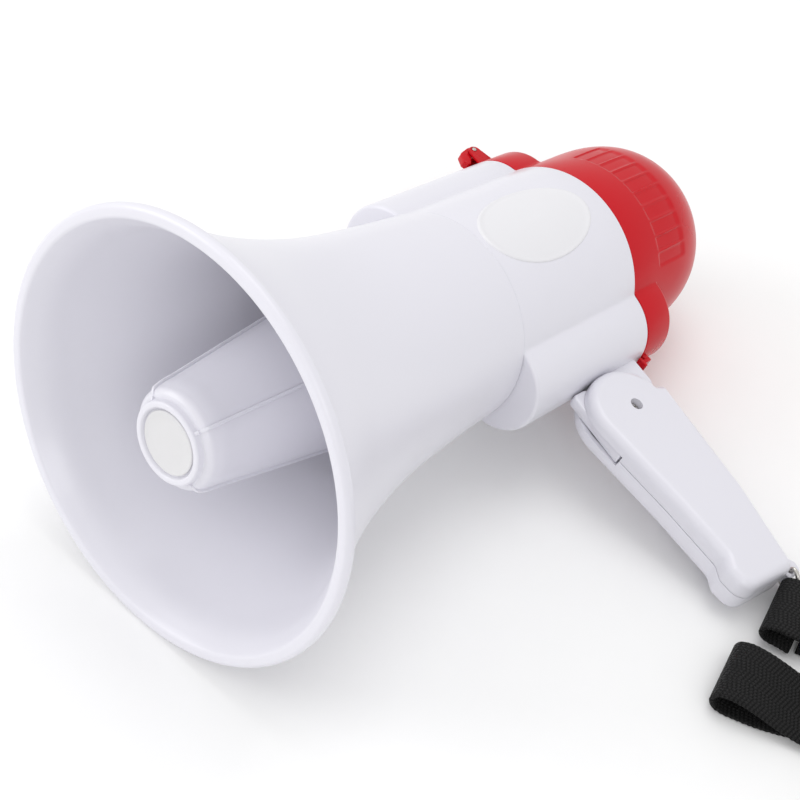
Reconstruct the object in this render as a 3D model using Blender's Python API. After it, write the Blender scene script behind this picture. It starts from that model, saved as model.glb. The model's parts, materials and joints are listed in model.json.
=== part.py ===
"""Handheld megaphone with a two-part handle, a latched battery cap and a wrist strap.

Every piece is modelled in the frame of a megaphone held in use: x to the user's right, y from
the mouth of the horn (0) back to the rear, z up, in millimetres. The empty "lying_megaphone"
then lays the whole thing on its left side, resting on the horn's rim, the cap and the heel of
the handle, with its origin at the middle of its base. The strap is made where it lies.
"""

from math import acos, atan2, cos, degrees, pi, radians, sin, sqrt

import bmesh
import bpy
from mathutils import Matrix, Vector

MM = 0.001
GAP = 0.3                # between touching pieces
ROUND = 36               # sides of a large turned piece
SMALL = 16               # sides of a pin or a screw

# horn and tone guide
MOUTH_R = 80.0
HORN_WALL = 2.2
HORN_END = 136.8         # where the horn meets the housing
NECK_R = 41.2
GUIDE_R = 14.8           # front ring of the tone guide
THROAT_R = 11.0

# housing and battery lobes
BODY_R = 40.8
LOBE_R = 20.0
LOBE_OUT = 33.3          # lobe axis from the main axis
WALL = 2.2
HOUSING_FRONT = HORN_END + GAP
SEAM = 209.6             # housing meets the red cap

# cap
CAP_R = 40.3
SKIRT_END = 224.0        # flat ends of the cap's two lobes
DOME_START = 234.6
DOME_END = 278.0
DOME_POWER = 2.7         # squareness of the dome's outline
PANEL_R = 20.6
LATCH_PIN = (220.6, 61.4)

# handle
PIVOT_Y = 178.5
PIVOT_Z = -71.0
HANDLE_TOP_R = 17.5      # the handle's round top, about its pivot
HANDLE_HALF = 8.5        # half thickness
HANDLE_ROUND = 3.7       # rounding of its long edges
HANDLE_WALL = 2.2
FIN_HALF = 2.3
SLOT_HALF = 2.6
SLOT_END = -84.4
TRIGGER_PIN = (163.6, -89.5)
HEEL_Z = -155.3

# wrist ring and strap
RING_BORE = (184.6, -154.6)
RING_WIRE = 0.9
STRAP_WIDTH = 28.0
STRAP_THICK = 1.6
STRAP_START = (153.2, 157.0)   # middle of the fold at the ring, from the middle of the horn's mouth
STRAP_HEADING = 16.0     # degrees, the way the strap leaves the ring

# how it lies: the axis dips towards the rear, and the handle's heel comes down to the table
AXIS_DIP = 9.36          # degrees
HEEL_ROLL = 16.31         # degrees


def make_material(name, colour, roughness, metallic=0.0):
    found = bpy.data.materials.get(name)
    if found:
        return found
    made = bpy.data.materials.new(name)
    made.use_nodes = True
    shader = made.node_tree.nodes["Principled BSDF"]
    shader.inputs["Base Color"].default_value = (*colour, 1.0)
    shader.inputs["Roughness"].default_value = roughness
    shader.inputs["Metallic"].default_value = metallic
    return made


def white_plastic():
    return make_material("white_plastic", (0.86, 0.86, 0.90), 0.3)


def red_plastic():
    return make_material("red_plastic", (0.72, 0.01, 0.02), 0.2)


def black_plastic():
    return make_material("black_plastic", (0.03, 0.03, 0.03), 0.45)


def steel():
    return make_material("steel", (0.6, 0.6, 0.62), 0.3, 1.0)


def ferrite():
    return make_material("ferrite", (0.05, 0.05, 0.055), 0.7)


def brass():
    return make_material("brass", (0.75, 0.6, 0.3), 0.35, 1.0)


def cell_wrap():
    return make_material("cell_wrap", (0.12, 0.2, 0.3), 0.4)


def circuit_green():
    return make_material("circuit_green", (0.02, 0.2, 0.08), 0.5)


def label_white():
    return make_material("label_white", (0.93, 0.93, 0.93), 0.5)


def webbing():
    return make_material("webbing", (0.03, 0.03, 0.03), 0.9)


def clear_scene():
    for old in list(bpy.data.objects):
        bpy.data.objects.remove(old, do_unlink=True)


def add_piece(name, mesh, material, parent):
    """Link a mesh (already in metres) as an object of its own."""
    mesh.materials.append(material)
    piece = bpy.data.objects.new(name, mesh)
    bpy.context.collection.objects.link(piece)
    piece.parent = parent
    return piece


def finish_mesh(name, builder, smooth_angle=35.0):
    bmesh.ops.recalc_face_normals(builder, faces=builder.faces)
    mesh = bpy.data.meshes.new(name)
    builder.to_mesh(mesh)
    builder.free()
    mesh.shade_smooth()
    mesh.set_sharp_from_angle(angle=radians(smooth_angle))
    return mesh


def stack_rings(name, rings, closed=False):
    """Join successive rings of equal count into one skin, capped unless it closes on itself."""
    builder = bmesh.new()
    rows = [[builder.verts.new(Vector(p) * MM) for p in ring] for ring in rings]
    count = len(rows[0])
    last = len(rows) if closed else len(rows) - 1
    for k in range(last):
        low, high = rows[k], rows[(k + 1) % len(rows)]
        for i in range(count):
            j = (i + 1) % count
            builder.faces.new((low[i], low[j], high[j], high[i]))
    if not closed:
        builder.faces.new(rows[0])
        builder.faces.new(list(reversed(rows[-1])))
    return finish_mesh(name, builder)


def circle_ring(y, radius, sides=ROUND, x=0.0, z=0.0):
    return [(x + radius * sin(2 * pi * i / sides), y, z + radius * cos(2 * pi * i / sides))
            for i in range(sides)]


def turned(name, profile, sides=ROUND, x=0.0, z=0.0, closed=False):
    """A turned piece along y, from (y, radius) pairs."""
    rings = [circle_ring(y, radius, sides, x, z) for y, radius in profile]
    return stack_rings(name, rings, closed)


def cross_pin(name, x_from, x_to, radius, y, z, sides=SMALL):
    """A pin or hole running across the megaphone, along x."""
    rings = [[(x, y + radius * cos(2 * pi * i / sides), z + radius * sin(2 * pi * i / sides))
              for i in range(sides)] for x in (x_from, x_to)]
    return stack_rings(name, rings)


def stepped_cross_pin(name, steps, y, z, sides=SMALL):
    """A headed screw along x, from (x, radius) pairs."""
    rings = [[(x, y + radius * cos(2 * pi * i / sides), z + radius * sin(2 * pi * i / sides))
              for i in range(sides)] for x, radius in steps]
    return stack_rings(name, rings)


def block(name, low, high):
    """A rectangular block between two corners."""
    rings = [[(low[0], y, low[2]), (high[0], y, low[2]), (high[0], y, high[2]), (low[0], y, high[2])]
             for y in (low[1], high[1])]
    return stack_rings(name, rings)


def helper(name, mesh, parent):
    """A cutter, or a shape to be joined on, which isn't a piece itself."""
    guide = bpy.data.objects.new(name, mesh)
    bpy.context.collection.objects.link(guide)
    guide.parent = parent
    guide.hide_render = True
    guide.display_type = "WIRE"
    return guide


def combine(piece, guide, operation):
    step = piece.modifiers.new(guide.name, "BOOLEAN")
    step.object = guide
    step.operation = operation
    step.solver = "EXACT"


def cut(piece, guide):
    combine(piece, guide, "DIFFERENCE")


def join(piece, guide):
    combine(piece, guide, "UNION")


def rounded_outline(corners, inset=0.0):
    """Points of an outline whose corners are (a, b, radius), pulled in by inset.

    Corners run one way round; an inner corner is one that turns the other way.
    """
    count = len(corners)
    area = sum(corners[i][0] * corners[(i + 1) % count][1] - corners[(i + 1) % count][0] * corners[i][1]
               for i in range(count))
    side = 1.0 if area > 0 else -1.0
    points = []
    for i in range(count):
        before, here, after = (Vector(corners[k % count][:2]) for k in (i - 1, i, i + 1))
        into = (here - before).normalized()
        out = (after - here).normalized()
        turn = side * (into.x * out.y - into.y * out.x)
        angle = acos(max(-1.0, min(1.0, into.dot(out))))
        normal_in = Vector((-into.y, into.x)) * side
        normal_out = Vector((-out.y, out.x)) * side
        radius = corners[i][2]
        centre_way = normal_in if turn > 0 else -normal_in
        reach = radius * (1.0 / cos(angle / 2))
        bisector = (normal_in + normal_out).normalized() * (1 if turn > 0 else -1)
        centre = here + bisector * reach
        bend = max(0.05, radius - inset) if turn > 0 else radius + inset
        steps = max(1, min(6, round(degrees(angle) / 17)))
        start = atan2(-centre_way.y, -centre_way.x)
        for k in range(steps + 1):
            a = start + side * (1 if turn > 0 else -1) * angle * k / steps
            points.append(centre + bend * Vector((cos(a), sin(a))))
    return points


def side_plate(name, corners, layers):
    """A plate across x whose (y, z) outline is pulled in by a given inset at each x."""
    rings = [[(x, p.x, p.y) for p in rounded_outline(corners, inset)] for x, inset in layers]
    return stack_rings(name, rings)


# ---------------------------------------------------------------- lobed cross-section


def quadrant_angles():
    """Angles from the vertical to the side, close together where lobe meets cylinder."""
    meet = lobe_meeting_angle()
    lobe = [meet * k / 5 for k in range(6)]
    rest = [meet + (pi / 2 - meet) * k / 4 for k in range(1, 5)]
    return lobe + rest


def lobe_meeting_angle():
    z = (BODY_R ** 2 - LOBE_R ** 2 + LOBE_OUT ** 2) / (2 * LOBE_OUT)
    return acos(z / BODY_R)


def section_angles():
    quarter = quadrant_angles()
    half = quarter + [pi - a for a in reversed(quarter[:-1])]
    return half + [2 * pi - a for a in reversed(half[1:-1])]


def lobed_radius(angle, inset, main_r=BODY_R, lobe_r=LOBE_R):
    """Radius of the housing's outline at an angle from straight up."""
    main = main_r - inset
    fold = min(angle % pi, pi - angle % pi)
    lobe = lobe_r - inset
    under = lobe ** 2 - (LOBE_OUT * sin(fold)) ** 2
    if under <= 0:
        return main
    return max(main, LOBE_OUT * cos(fold) + sqrt(under))


def lobed_ring(y, inset, main_r=BODY_R, lobe_r=LOBE_R):
    return [(lobed_radius(a, inset, main_r, lobe_r) * sin(a), y,
             lobed_radius(a, inset, main_r, lobe_r) * cos(a)) for a in section_angles()]


def plain_ring(y, radius):
    """A circle with the same points as a lobed ring."""
    return [(radius * sin(a), y, radius * cos(a)) for a in section_angles()]


# ---------------------------------------------------------------- horn


def horn_outline():
    """(y, radius) of the flare, from the mouth back to the neck."""
    return [(5.5, 74.3), (16.4, 69.1), (41.0, 58.2), (75.3, 48.2), (109.5, 43.6), (HORN_END, NECK_R)]


def make_horn(parent):
    lip = [(5.6, 77.0), (2.6, MOUTH_R), (0.4, 79.4), (0.0, 77.6)]
    inner = [(1.6, 75.0), (6.0, 72.0), (16.8, 66.9), (41.6, 55.9), (75.6, 46.0), (92.0, 42.8),
             (101.0, 38.0), (105.5, 29.0), (107.0, THROAT_R + 3.3)]
    back = [(109.2, THROAT_R + 3.3), (107.6, 30.0), (103.6, 39.3), (112.0, 41.2),
            (HORN_END, NECK_R - HORN_WALL)]
    outer = list(reversed(horn_outline()))
    profile = outer + lip + inner + back
    add_piece("horn_bell", turned("horn_bell", profile, closed=True), white_plastic(), parent)


def make_tone_guide(parent):
    """A cup that opens to the rear and turns the sound back into the flare."""
    outer = [(0.0, GUIDE_R - 3.0), (0.0, GUIDE_R), (1.6, GUIDE_R + 0.6), (3.0, GUIDE_R + 0.5),
             (4.2, 17.2), (8.0, 20.2), (14.0, 22.4), (40.0, 26.5), (88.0, 31.0)]
    inner = [(88.0, 29.4), (40.0, 24.9), (15.0, 20.9), (10.0, 18.0), (7.5, 13.0)]
    profile = outer + inner
    rings = [circle_ring(y, r, 28) for y, r in [(2.4, GUIDE_R - 3.0)] + profile]
    guide = add_piece("tone_guide", stack_rings("tone_guide", rings), white_plastic(), parent)
    for k in range(4):
        angle = radians(45 + 90 * k)
        rib = rib_along_guide("guide_rib_%d" % (k + 1), angle)
        join(guide, helper("shape_guide_rib_%d" % (k + 1), rib, parent))
    badge = [(0.6, GUIDE_R - 3.4), (2.1, GUIDE_R - 3.4)]
    add_piece("front_badge", turned("front_badge", badge, 36), label_white(), parent)


def rib_along_guide(name, angle):
    """A thin rib that follows the guide's side, half sunk in it."""
    line = [(3.4, 15.6, 17.6), (8.0, 19.4, 22.0), (14.0, 21.6, 24.2), (40.0, 25.6, 28.2),
            (87.0, 30.0, 32.4)]
    across = Vector((cos(angle), 0, -sin(angle))) * 0.6
    rings = []
    for y, low, high in line:
        out = Vector((sin(angle), 0, cos(angle)))
        base = Vector((0, y, 0))
        rings.append([base + out * low - across, base + out * high - across,
                      base + out * high + across, base + out * low + across])
    return stack_rings(name, rings)


def make_throat(parent):
    """The tube that carries the sound from the driver into the tone guide, on three legs."""
    bore = [(109.0 + GAP, THROAT_R), (70.0, 9.6), (26.0, 8.0)]
    skin = [(26.0, 9.6), (70.0, 11.2), (106.5, THROAT_R + 3.0), (109.0 + GAP, THROAT_R + 3.0)]
    tube = add_piece("throat_tube", turned("throat_tube", bore + skin, 32, closed=True),
                     white_plastic(), parent)
    for k in range(4):
        angle = radians(90 * k)
        out = Vector((sin(angle), 0, cos(angle)))
        across = Vector((cos(angle), 0, -sin(angle))) * 0.8
        rings = []
        for y, reach in ((60.0, 26.1), (76.0, 27.6)):
            base = Vector((0, y, 0))
            low = 10.0
            rings.append([base + out * low - across, base + out * reach - across,
                          base + out * reach + across, base + out * low + across])
        leg = stack_rings("throat_leg_%d" % (k + 1), rings)
        join(tube, helper("shape_throat_leg_%d" % (k + 1), leg, parent))


# ---------------------------------------------------------------- compression driver


def make_driver(parent):
    front = 109.2 + GAP
    plate = [(front + 3.0, 11.4), (front, 11.4), (front, 26.0), (front + 3.0, 26.0)]
    add_piece("driver_top_plate", turned("driver_top_plate", plate, 32, closed=True), steel(), parent)
    magnet_front = front + 3.0 + GAP
    magnet = [(magnet_front + 9.0, 13.5), (magnet_front, 13.5), (magnet_front, 24.0),
              (magnet_front + 9.0, 24.0)]
    add_piece("driver_magnet", turned("driver_magnet", magnet, 32, closed=True), ferrite(), parent)
    yoke_front = magnet_front + 9.0 + GAP
    yoke = [(front + 2.2, 9.6), (front + 2.8, 10.2), (yoke_front, 10.2), (yoke_front, 23.0),
            (yoke_front + 3.4, 23.0)]
    add_piece("driver_yoke", turned("driver_yoke", yoke, 32), steel(), parent)
    dome = [(front + 1.6, 10.8), (front + 0.2, 7.0), (front - 0.4, 2.0), (front, 2.0),
            (front + 0.6, 7.0), (front + 1.9, 10.8)]
    rings = [circle_ring(y, r, 24) for y, r in dome[:3] + [(front - 0.4, 0.4), (front, 0.4)] + dome[3:]]
    add_piece("driver_diaphragm", stack_rings("driver_diaphragm", rings, closed=True),
              label_white(), parent)


# ---------------------------------------------------------------- housing


def make_housing(parent):
    front, rear = HOUSING_FRONT, SEAM - GAP
    rings = [
        lobed_ring(front, 0.8),
        lobed_ring(front + 0.8, 0.0),
        lobed_ring(rear, 0.0),
        lobed_ring(rear, WALL),
        lobed_ring(front + 2.4, WALL),
        plain_ring(front + 2.4, 27.0),
        plain_ring(front, 27.0),
    ]
    housing = add_piece("rear_housing", stack_rings("rear_housing", rings, closed=True),
                        white_plastic(), parent)
    fin = side_plate("handle_fin", fin_corners(), [(-FIN_HALF, 0.0), (FIN_HALF, 0.0)])
    join(housing, helper("shape_fin", fin, parent))
    bore = cross_pin("fin_bore", -9, 9, 4.3, PIVOT_Y, PIVOT_Z, 24)
    cut(housing, helper("cut_fin_bore", bore, parent))


def fin_corners():
    """The web under the housing that the handle hangs from, seen from the side."""
    root = -(LOBE_OUT + LOBE_R) + 1.2
    return [(174.5, root, 0.3), (203.6, root, 0.3), (202.6, -64.4, 1.0), (189.0, -80.0, 8.0),
            (170.2, -80.4, 8.6), (169.6, -62.4, 7.4), (174.5, -60.4, 1.5)]


def make_label(parent):
    """A blank oval plate on the housing's right side."""
    half_long, half_tall = 29.5, 18.5
    middle = 168.5
    rows = []
    steps = 10
    for k in range(steps + 1):
        y = middle - half_long * cos(pi * k / steps)
        half_angle = max(0.012, half_tall / BODY_R * sin(pi * k / steps))
        outline = []
        across = 8
        for radius, way in ((BODY_R + GAP + 0.4, 1), (BODY_R + GAP, -1)):
            for i in range(across + 1):
                a = pi / 2 + way * half_angle * (2 * i / across - 1)
                outline.append((radius * sin(a), y, radius * cos(a)))
        rows.append(outline)
    add_piece("body_label", stack_rings("body_label", rows), label_white(), parent)


def make_batteries(parent):
    """Three cells in a tube in each lobe, between a front contact and a sprung rear one."""
    for place, way in (("top", 1), ("bottom", -1)):
        z0 = way * LOBE_OUT
        sleeve = [(204.0, 16.3), (141.0, 16.3), (141.0, 17.3), (204.0, 17.3)]
        add_piece("battery_tube_" + place,
                  turned("battery_tube_" + place, sleeve, 32, z=z0, closed=True), black_plastic(), parent)
        contact = [(141.6, 15.6), (142.2, 15.6)]
        add_piece("front_contact_" + place, turned("front_contact_" + place, contact, 28, z=z0),
                  brass(), parent)
        for k in range(3):
            angle = radians(120 * k + (0 if way > 0 else 180))
            x = 8.35 * sin(angle)
            z = z0 + 8.35 * cos(angle)
            cell = [(143.0, 2.7), (144.4, 2.7), (144.4, 6.6), (145.0, 7.1), (192.6, 7.1), (193.2, 6.6)]
            name = "battery_%s_%d" % (place, k + 1)
            add_piece(name, turned(name, cell, SMALL, x=x, z=z), cell_wrap(), parent)
        rear = [(193.8, 15.6), (194.6, 15.6)]
        add_piece("rear_contact_" + place, turned("rear_contact_" + place, rear, 28, z=z0),
                  brass(), parent)
        add_spring("cap_spring_" + place, z0, parent)


def add_spring(name, z0, parent):
    """An open coil between the rear contact and the end of the cap's lobe."""
    start, end, radius, wire, turns, per_turn = 195.8, 220.6, 6.5, 0.6, 4, 8
    points = []
    for k in range(turns * per_turn + 1):
        angle = 2 * pi * k / per_turn
        y = start + (end - start) * k / (turns * per_turn)
        points.append((radius * sin(angle), y, z0 + radius * cos(angle)))
    add_wire(name, points, wire, steel(), parent, resolution=0)


def add_wire(name, points, radius, material, parent, cyclic=False, resolution=1):
    curve = bpy.data.curves.new(name, "CURVE")
    curve.dimensions = "3D"
    curve.bevel_depth = radius * MM
    curve.bevel_resolution = resolution
    curve.use_fill_caps = not cyclic
    spline = curve.splines.new("POLY")
    spline.points.add(len(points) - 1)
    for point, place in zip(spline.points, points):
        point.co = (*(Vector(place) * MM), 1.0)
    spline.use_cyclic_u = cyclic
    curve.materials.append(material)
    piece = bpy.data.objects.new(name, curve)
    bpy.context.collection.objects.link(piece)
    piece.parent = parent
    return piece


def make_electronics(parent):
    add_piece("amplifier_board", block("amplifier_board", (-30, 144, -0.8), (30, 196, 0.8)),
              circuit_green(), parent)
    add_piece("heat_sink", block("heat_sink", (-22, 150, 1.1), (-12, 176, 11.0)), steel(), parent)
    capacitor = [(180.0, 4.8), (180.0, 5.0), (194.0, 5.0), (194.0, 4.8)]
    add_piece("capacitor", turned("capacitor", capacitor, SMALL, x=14.0, z=6.2), black_plastic(), parent)


# ---------------------------------------------------------------- rear controls


def make_rear_controls(parent):
    """A column through the cap's middle carries the panel, the microphone and the controls."""
    column = [(198.0, 12.0), (263.0, 12.0), (263.0, 14.0), (198.0, 14.0)]
    rings = [circle_ring(y, r, 32) for y, r in column]
    post = add_piece("control_column", stack_rings("control_column", rings, closed=True),
                     black_plastic(), parent)
    for k, way in enumerate((-1, 1)):
        low, high = sorted((way * 13.2, way * 36.8))
        arm = block("column_arm", (low, 199.0, -10.0), (high, 203.0, 10.0))
        join(post, helper("shape_column_arm_%d" % (k + 1), arm, parent))
    face = 275.4
    panel = [(263.0 + GAP, PANEL_R - 1.0), (264.4, PANEL_R), (face - 1.2, PANEL_R), (face, PANEL_R - 1.4)]
    rings = [circle_ring(y, r, 32) for y, r in panel]
    plate = add_piece("control_panel", stack_rings("control_panel", rings), black_plastic(), parent)
    cut(plate, helper("cut_panel_back", turned("panel_back", [(262.0, 17.6), (272.8, 17.6)], 32), parent))
    cut(plate, helper("cut_knob_hole", turned("knob_hole", [(270, 2.0), (280, 2.0)], 16, x=-9.0, z=6.0), parent))
    cut(plate, helper("cut_mic_hole", turned("mic_hole", [(270, 5.3), (280, 5.3)], 24, x=8.5, z=5.0), parent))
    slot = block("switch_slot", (-7.0, 270, -12.6), (7.0, 280, -8.8))
    cut(plate, helper("cut_switch_slot", slot, parent))
    capsule = [(266.4, 4.8), (272.6, 4.8)]
    add_piece("microphone", turned("microphone", capsule, 24, x=8.5, z=5.0), steel(), parent)
    grille = [(273.0, 5.0), (274.9, 5.0)]
    add_piece("microphone_grille", turned("microphone_grille", grille, 24, x=8.5, z=5.0),
              black_plastic(), parent)
    add_piece("volume_control", turned("volume_control", [(265.5, 5.4), (272.5, 5.4)], 20, x=-9.0, z=6.0),
              steel(), parent)
    knob = [(272.8, 1.6), (face + GAP, 1.6), (face + GAP, 5.2), (face + 2.1, 5.0), (face + 2.5, 4.4)]
    dial = empty("volume_axis", (-9.0, face, 6.0), parent)
    hang(add_piece("volume_knob", turned("volume_knob", knob, 28, x=-9.0, z=6.0), black_plastic(), parent),
         dial)
    add_piece("siren_switch", block("siren_switch", (-6.0, 267.5, -13.2), (6.0, 272.4, -8.2)),
              steel(), parent)
    slide = [(-3.4, 272.8, -12.2), (0.6, face + 1.6, -9.2)]
    add_piece("siren_slider", block("siren_slider", *slide), red_plastic(), parent)


# ---------------------------------------------------------------- cap and latch


def dome_radius(y):
    along = (y - DOME_START) / (DOME_END - DOME_START)
    return CAP_R * (1 - along ** DOME_POWER) ** (1 / DOME_POWER)


def dome_place(k, steps, hole_r):
    """y of one of the dome's rings, spaced evenly round its outline up to the middle hole."""
    last = acos((hole_r / CAP_R) ** (DOME_POWER / 2))
    swing = last * k / steps
    return DOME_START + (DOME_END - DOME_START) * sin(swing) ** (2 / DOME_POWER)


def make_cap(parent):
    hole = PANEL_R + 0.7
    steps = 6
    lobed = dict(main_r=CAP_R, lobe_r=LOBE_R)
    rings = [lobed_ring(SEAM, 0.5, **lobed), lobed_ring(SEAM + 0.5, 0.0, **lobed),
             lobed_ring(SKIRT_END - 0.8, 0.0, **lobed), lobed_ring(SKIRT_END, 0.8, **lobed),
             plain_ring(SKIRT_END + 0.02, CAP_R)]
    dome = [(dome_place(k, steps, hole)) for k in range(steps + 1)]
    rings += [plain_ring(y, dome_radius(y)) for y in dome]
    rings += [plain_ring(y - 2.2, max(hole, dome_radius(y) - 1.6)) for y in reversed(dome[1:])]
    rings += [plain_ring(DOME_START, CAP_R - 2.0), plain_ring(SKIRT_END - 1.4, CAP_R - 2.0),
              lobed_ring(SKIRT_END - 2.0, 2.0, **lobed), lobed_ring(SEAM, 2.0, **lobed)]
    cap = add_piece("rear_cap", stack_rings("rear_cap", rings, closed=True), red_plastic(), parent)
    top = LOBE_OUT + LOBE_R
    for k, way in enumerate((-1, 1)):
        low, high = sorted((way * 2.9, way * 5.0))
        ear = block("latch_ear", (low, 216.6, top - 1.6), (high, 223.4, top + 10.2))
        join(cap, helper("shape_latch_ear_%d" % (k + 1), ear, parent))
    cut(cap, helper("cut_latch_bore", cross_pin("latch_bore", -9, 9, 1.25, *LATCH_PIN, 16), parent))
    foot = block("cap_foot", (-4.6, 207.0, -top - 3.4), (4.6, 212.2, -top - 1.6))
    neck = block("cap_foot_neck", (-1.4, 210.0, -top - 2.6), (1.4, 212.2, -top + 1.0))
    join(cap, helper("shape_cap_foot", foot, parent))
    join(cap, helper("shape_cap_foot_neck", neck, parent))


def latch_corners():
    """Side view of the latch: a nose in front, a thumb tail bent down at the rear."""
    return [(211.0, 60.6, 0.5), (213.2, 64.2, 2.0), (220.4, 64.8, 4.0), (225.4, 62.4, 2.0),
            (227.6, 54.3, 0.6), (225.8, 54.3, 0.5), (223.8, 58.6, 1.5), (215.4, 55.5, 0.6),
            (212.8, 57.2, 0.6)]


def make_latch(parent):
    axis = empty("latch_axis", (0.0, *LATCH_PIN), parent)
    body = side_plate("cap_latch", latch_corners(), [(-2.5, 0.3), (-2.2, 0.0), (2.2, 0.0), (2.5, 0.3)])
    latch = add_piece("cap_latch", body, red_plastic(), parent)
    bore = cross_pin("latch_body_bore", -9, 9, 1.25, *LATCH_PIN, 16)
    cut(latch, helper("cut_latch_body_bore", bore, parent))
    hang(latch, axis)
    add_piece("latch_pin", cross_pin("latch_pin", -5.4, 5.4, 1.0, *LATCH_PIN, 16), steel(), parent)


# ---------------------------------------------------------------- handle


def handle_corners():
    """Side view of the handle: round top, shoulder at the rear, heel at the front."""
    top = PIVOT_Z + HANDLE_TOP_R
    return [(157.2, top, 18.5), (191.7, top, HANDLE_TOP_R), (196.0, -68.6, 0.6), (200.4, -69.0, 2.5),
            (192.6, -119.0, 60.0), (182.8, HEEL_Z, 4.5), (154.6, HEEL_Z, 6.5), (154.4, -142.8, 3.5),
            (158.0, -137.6, 4.0), (158.6, -110.0, 60.0)]


def lug_corners():
    """The lug at the rear of the handle's heel that holds the wrist ring."""
    return [(176.0, -149.0, 0.5), (183.6, -141.0, 2.0), (187.2, -147.6, 4.0), (190.4, -153.4, 2.0),
            (189.4, -157.2, 1.8), (182.0, -157.2, 1.2), (181.4, -153.0, 0.5)]


def shell_layers(side, outer_x, rounding, inset):
    """Layers of a half shell, flat at the seam and rounded at the outer face."""
    layers = [(side * 0.15, inset)]
    for k in range(3):
        turn = pi / 2 * k / 2
        layers.append((side * (outer_x - rounding + rounding * sin(turn)),
                       inset + rounding * (1 - cos(turn))))
    return layers


def make_handle(parent):
    for name, side in (("handle_right", 1), ("handle_left", -1)):
        shell = add_piece(name, side_plate(name, handle_corners(),
                                           shell_layers(side, HANDLE_HALF, HANDLE_ROUND, 0.0)),
                          white_plastic(), parent)
        cut(shell, helper("cut_hollow_" + name, hollow(side), parent))
        slots = trigger_and_fin_slot(side)
        for k, slot in enumerate(slots):
            cut(shell, helper("cut_slot_%s_%d" % (name, k + 1), slot, parent))
        for k, (y, z, radius) in enumerate(((PIVOT_Y, PIVOT_Z, 6.0), (169.5, -124.0, 3.6))):
            inner = side * (SLOT_HALF + 0.1 if k == 0 else 0.15)
            boss = cross_pin("boss", *sorted((inner, side * 7.4)), radius, y, z, 24)
            join(shell, helper("shape_boss_%s_%d" % (name, k + 1), boss, parent))
        cut(shell, helper("cut_pivot_bore_" + name,
                          cross_pin("pivot_bore", -9, 9, 1.7, PIVOT_Y, PIVOT_Z, 16), parent))
        recess = cross_pin("pivot_recess", *sorted((side * 4.2, side * 10)), 2.7, PIVOT_Y, PIVOT_Z, 24)
        cut(shell, helper("cut_pivot_recess_" + name, recess, parent))
        lug = side_plate("ring_lug", lug_corners(), [(side * 0.15, 0.0), (side * 2.7, 0.0)])
        join(shell, helper("shape_lug_" + name, lug, parent))
        bore = cross_pin("ring_bore", -9, 9, RING_WIRE + 0.6, *RING_BORE, 16)
        cut(shell, helper("cut_ring_bore_" + name, bore, parent))
    bore = cross_pin("screw_bore", -9, 4.5, 1.5, 169.5, -124.0, 16)
    recess = cross_pin("screw_recess", -10, -5.2, 2.8, 169.5, -124.0, 24)
    for name in ("handle_right", "handle_left"):
        cut(bpy.data.objects[name], helper("cut_screw_" + name, bore.copy(), parent))
    cut(bpy.data.objects["handle_left"], helper("cut_screw_recess", recess, parent))


def hollow(side):
    layers = [(side * -1.0, HANDLE_WALL), (side * (HANDLE_HALF - HANDLE_WALL - 2.0), HANDLE_WALL),
              (side * (HANDLE_HALF - HANDLE_WALL), HANDLE_WALL + 2.0)]
    return side_plate("hollow", handle_corners(), layers)


def trigger_and_fin_slot(side):
    """Room between the shells for the trigger in front and for the fin above and behind."""
    low, high = sorted((side * -1.0, side * SLOT_HALF))
    return [block("slot", (low, 150.0, SLOT_END), (high, 172.0, -50.0)),
            block("slot", (low, 171.0, -96.0), (high, 206.0, -50.0))]


def make_handle_parts(parent):
    bush = [(-2.4, 4.0), (-2.4, 1.7), (2.4, 1.7), (2.4, 4.0)]
    rings = [[(x, PIVOT_Y + r * cos(2 * pi * i / 24), PIVOT_Z + r * sin(2 * pi * i / 24))
              for i in range(24)] for x, r in bush]
    add_piece("pivot_bush", stack_rings("pivot_bush", rings, closed=True), brass(), parent)
    screw = [(-4.0, 1.35), (4.5, 1.35), (4.5, 2.35), (5.8, 2.35), (6.1, 2.0)]
    add_piece("pivot_screw", stepped_cross_pin("pivot_screw", screw, PIVOT_Y, PIVOT_Z), steel(), parent)
    nut = [(-4.5, 2.3), (-4.5, 1.6), (-6.2, 1.6), (-6.2, 2.3)]
    rings = [[(x, PIVOT_Y + r * cos(2 * pi * i / 6), PIVOT_Z + r * sin(2 * pi * i / 6))
              for i in range(6)] for x, r in nut]
    add_piece("pivot_nut", stack_rings("pivot_nut", rings, closed=True), steel(), parent)
    low_screw = [(-7.0, 2.0), (-6.7, 2.4), (-5.6, 2.4), (-5.6, 1.2), (4.0, 1.2)]
    add_piece("handle_screw", stepped_cross_pin("handle_screw", low_screw, 169.5, -124.0), steel(), parent)
    add_piece("talk_switch", block("talk_switch", (-3.2, 169.6, -96.0), (3.2, 178.0, -84.5)),
              black_plastic(), parent)
    points = []
    for k in range(3 * 8 + 1):
        angle = 2 * pi * k / 8
        points.append((1.5 * sin(angle), 167.8 + 3.4 * k / 24, -79.5 + 1.5 * cos(angle)))
    add_wire("trigger_spring", points, 0.25, steel(), parent, resolution=0)


def trigger_corners():
    return [(161.6, -53.9, 2.0), (169.6, -54.2, 1.0), (166.5, -70.0, 20.0), (166.5, -93.0, 2.4),
            (161.6, -93.0, 1.8), (161.6, -84.0, 0.3), (158.3, -83.4, 0.5)]


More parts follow.
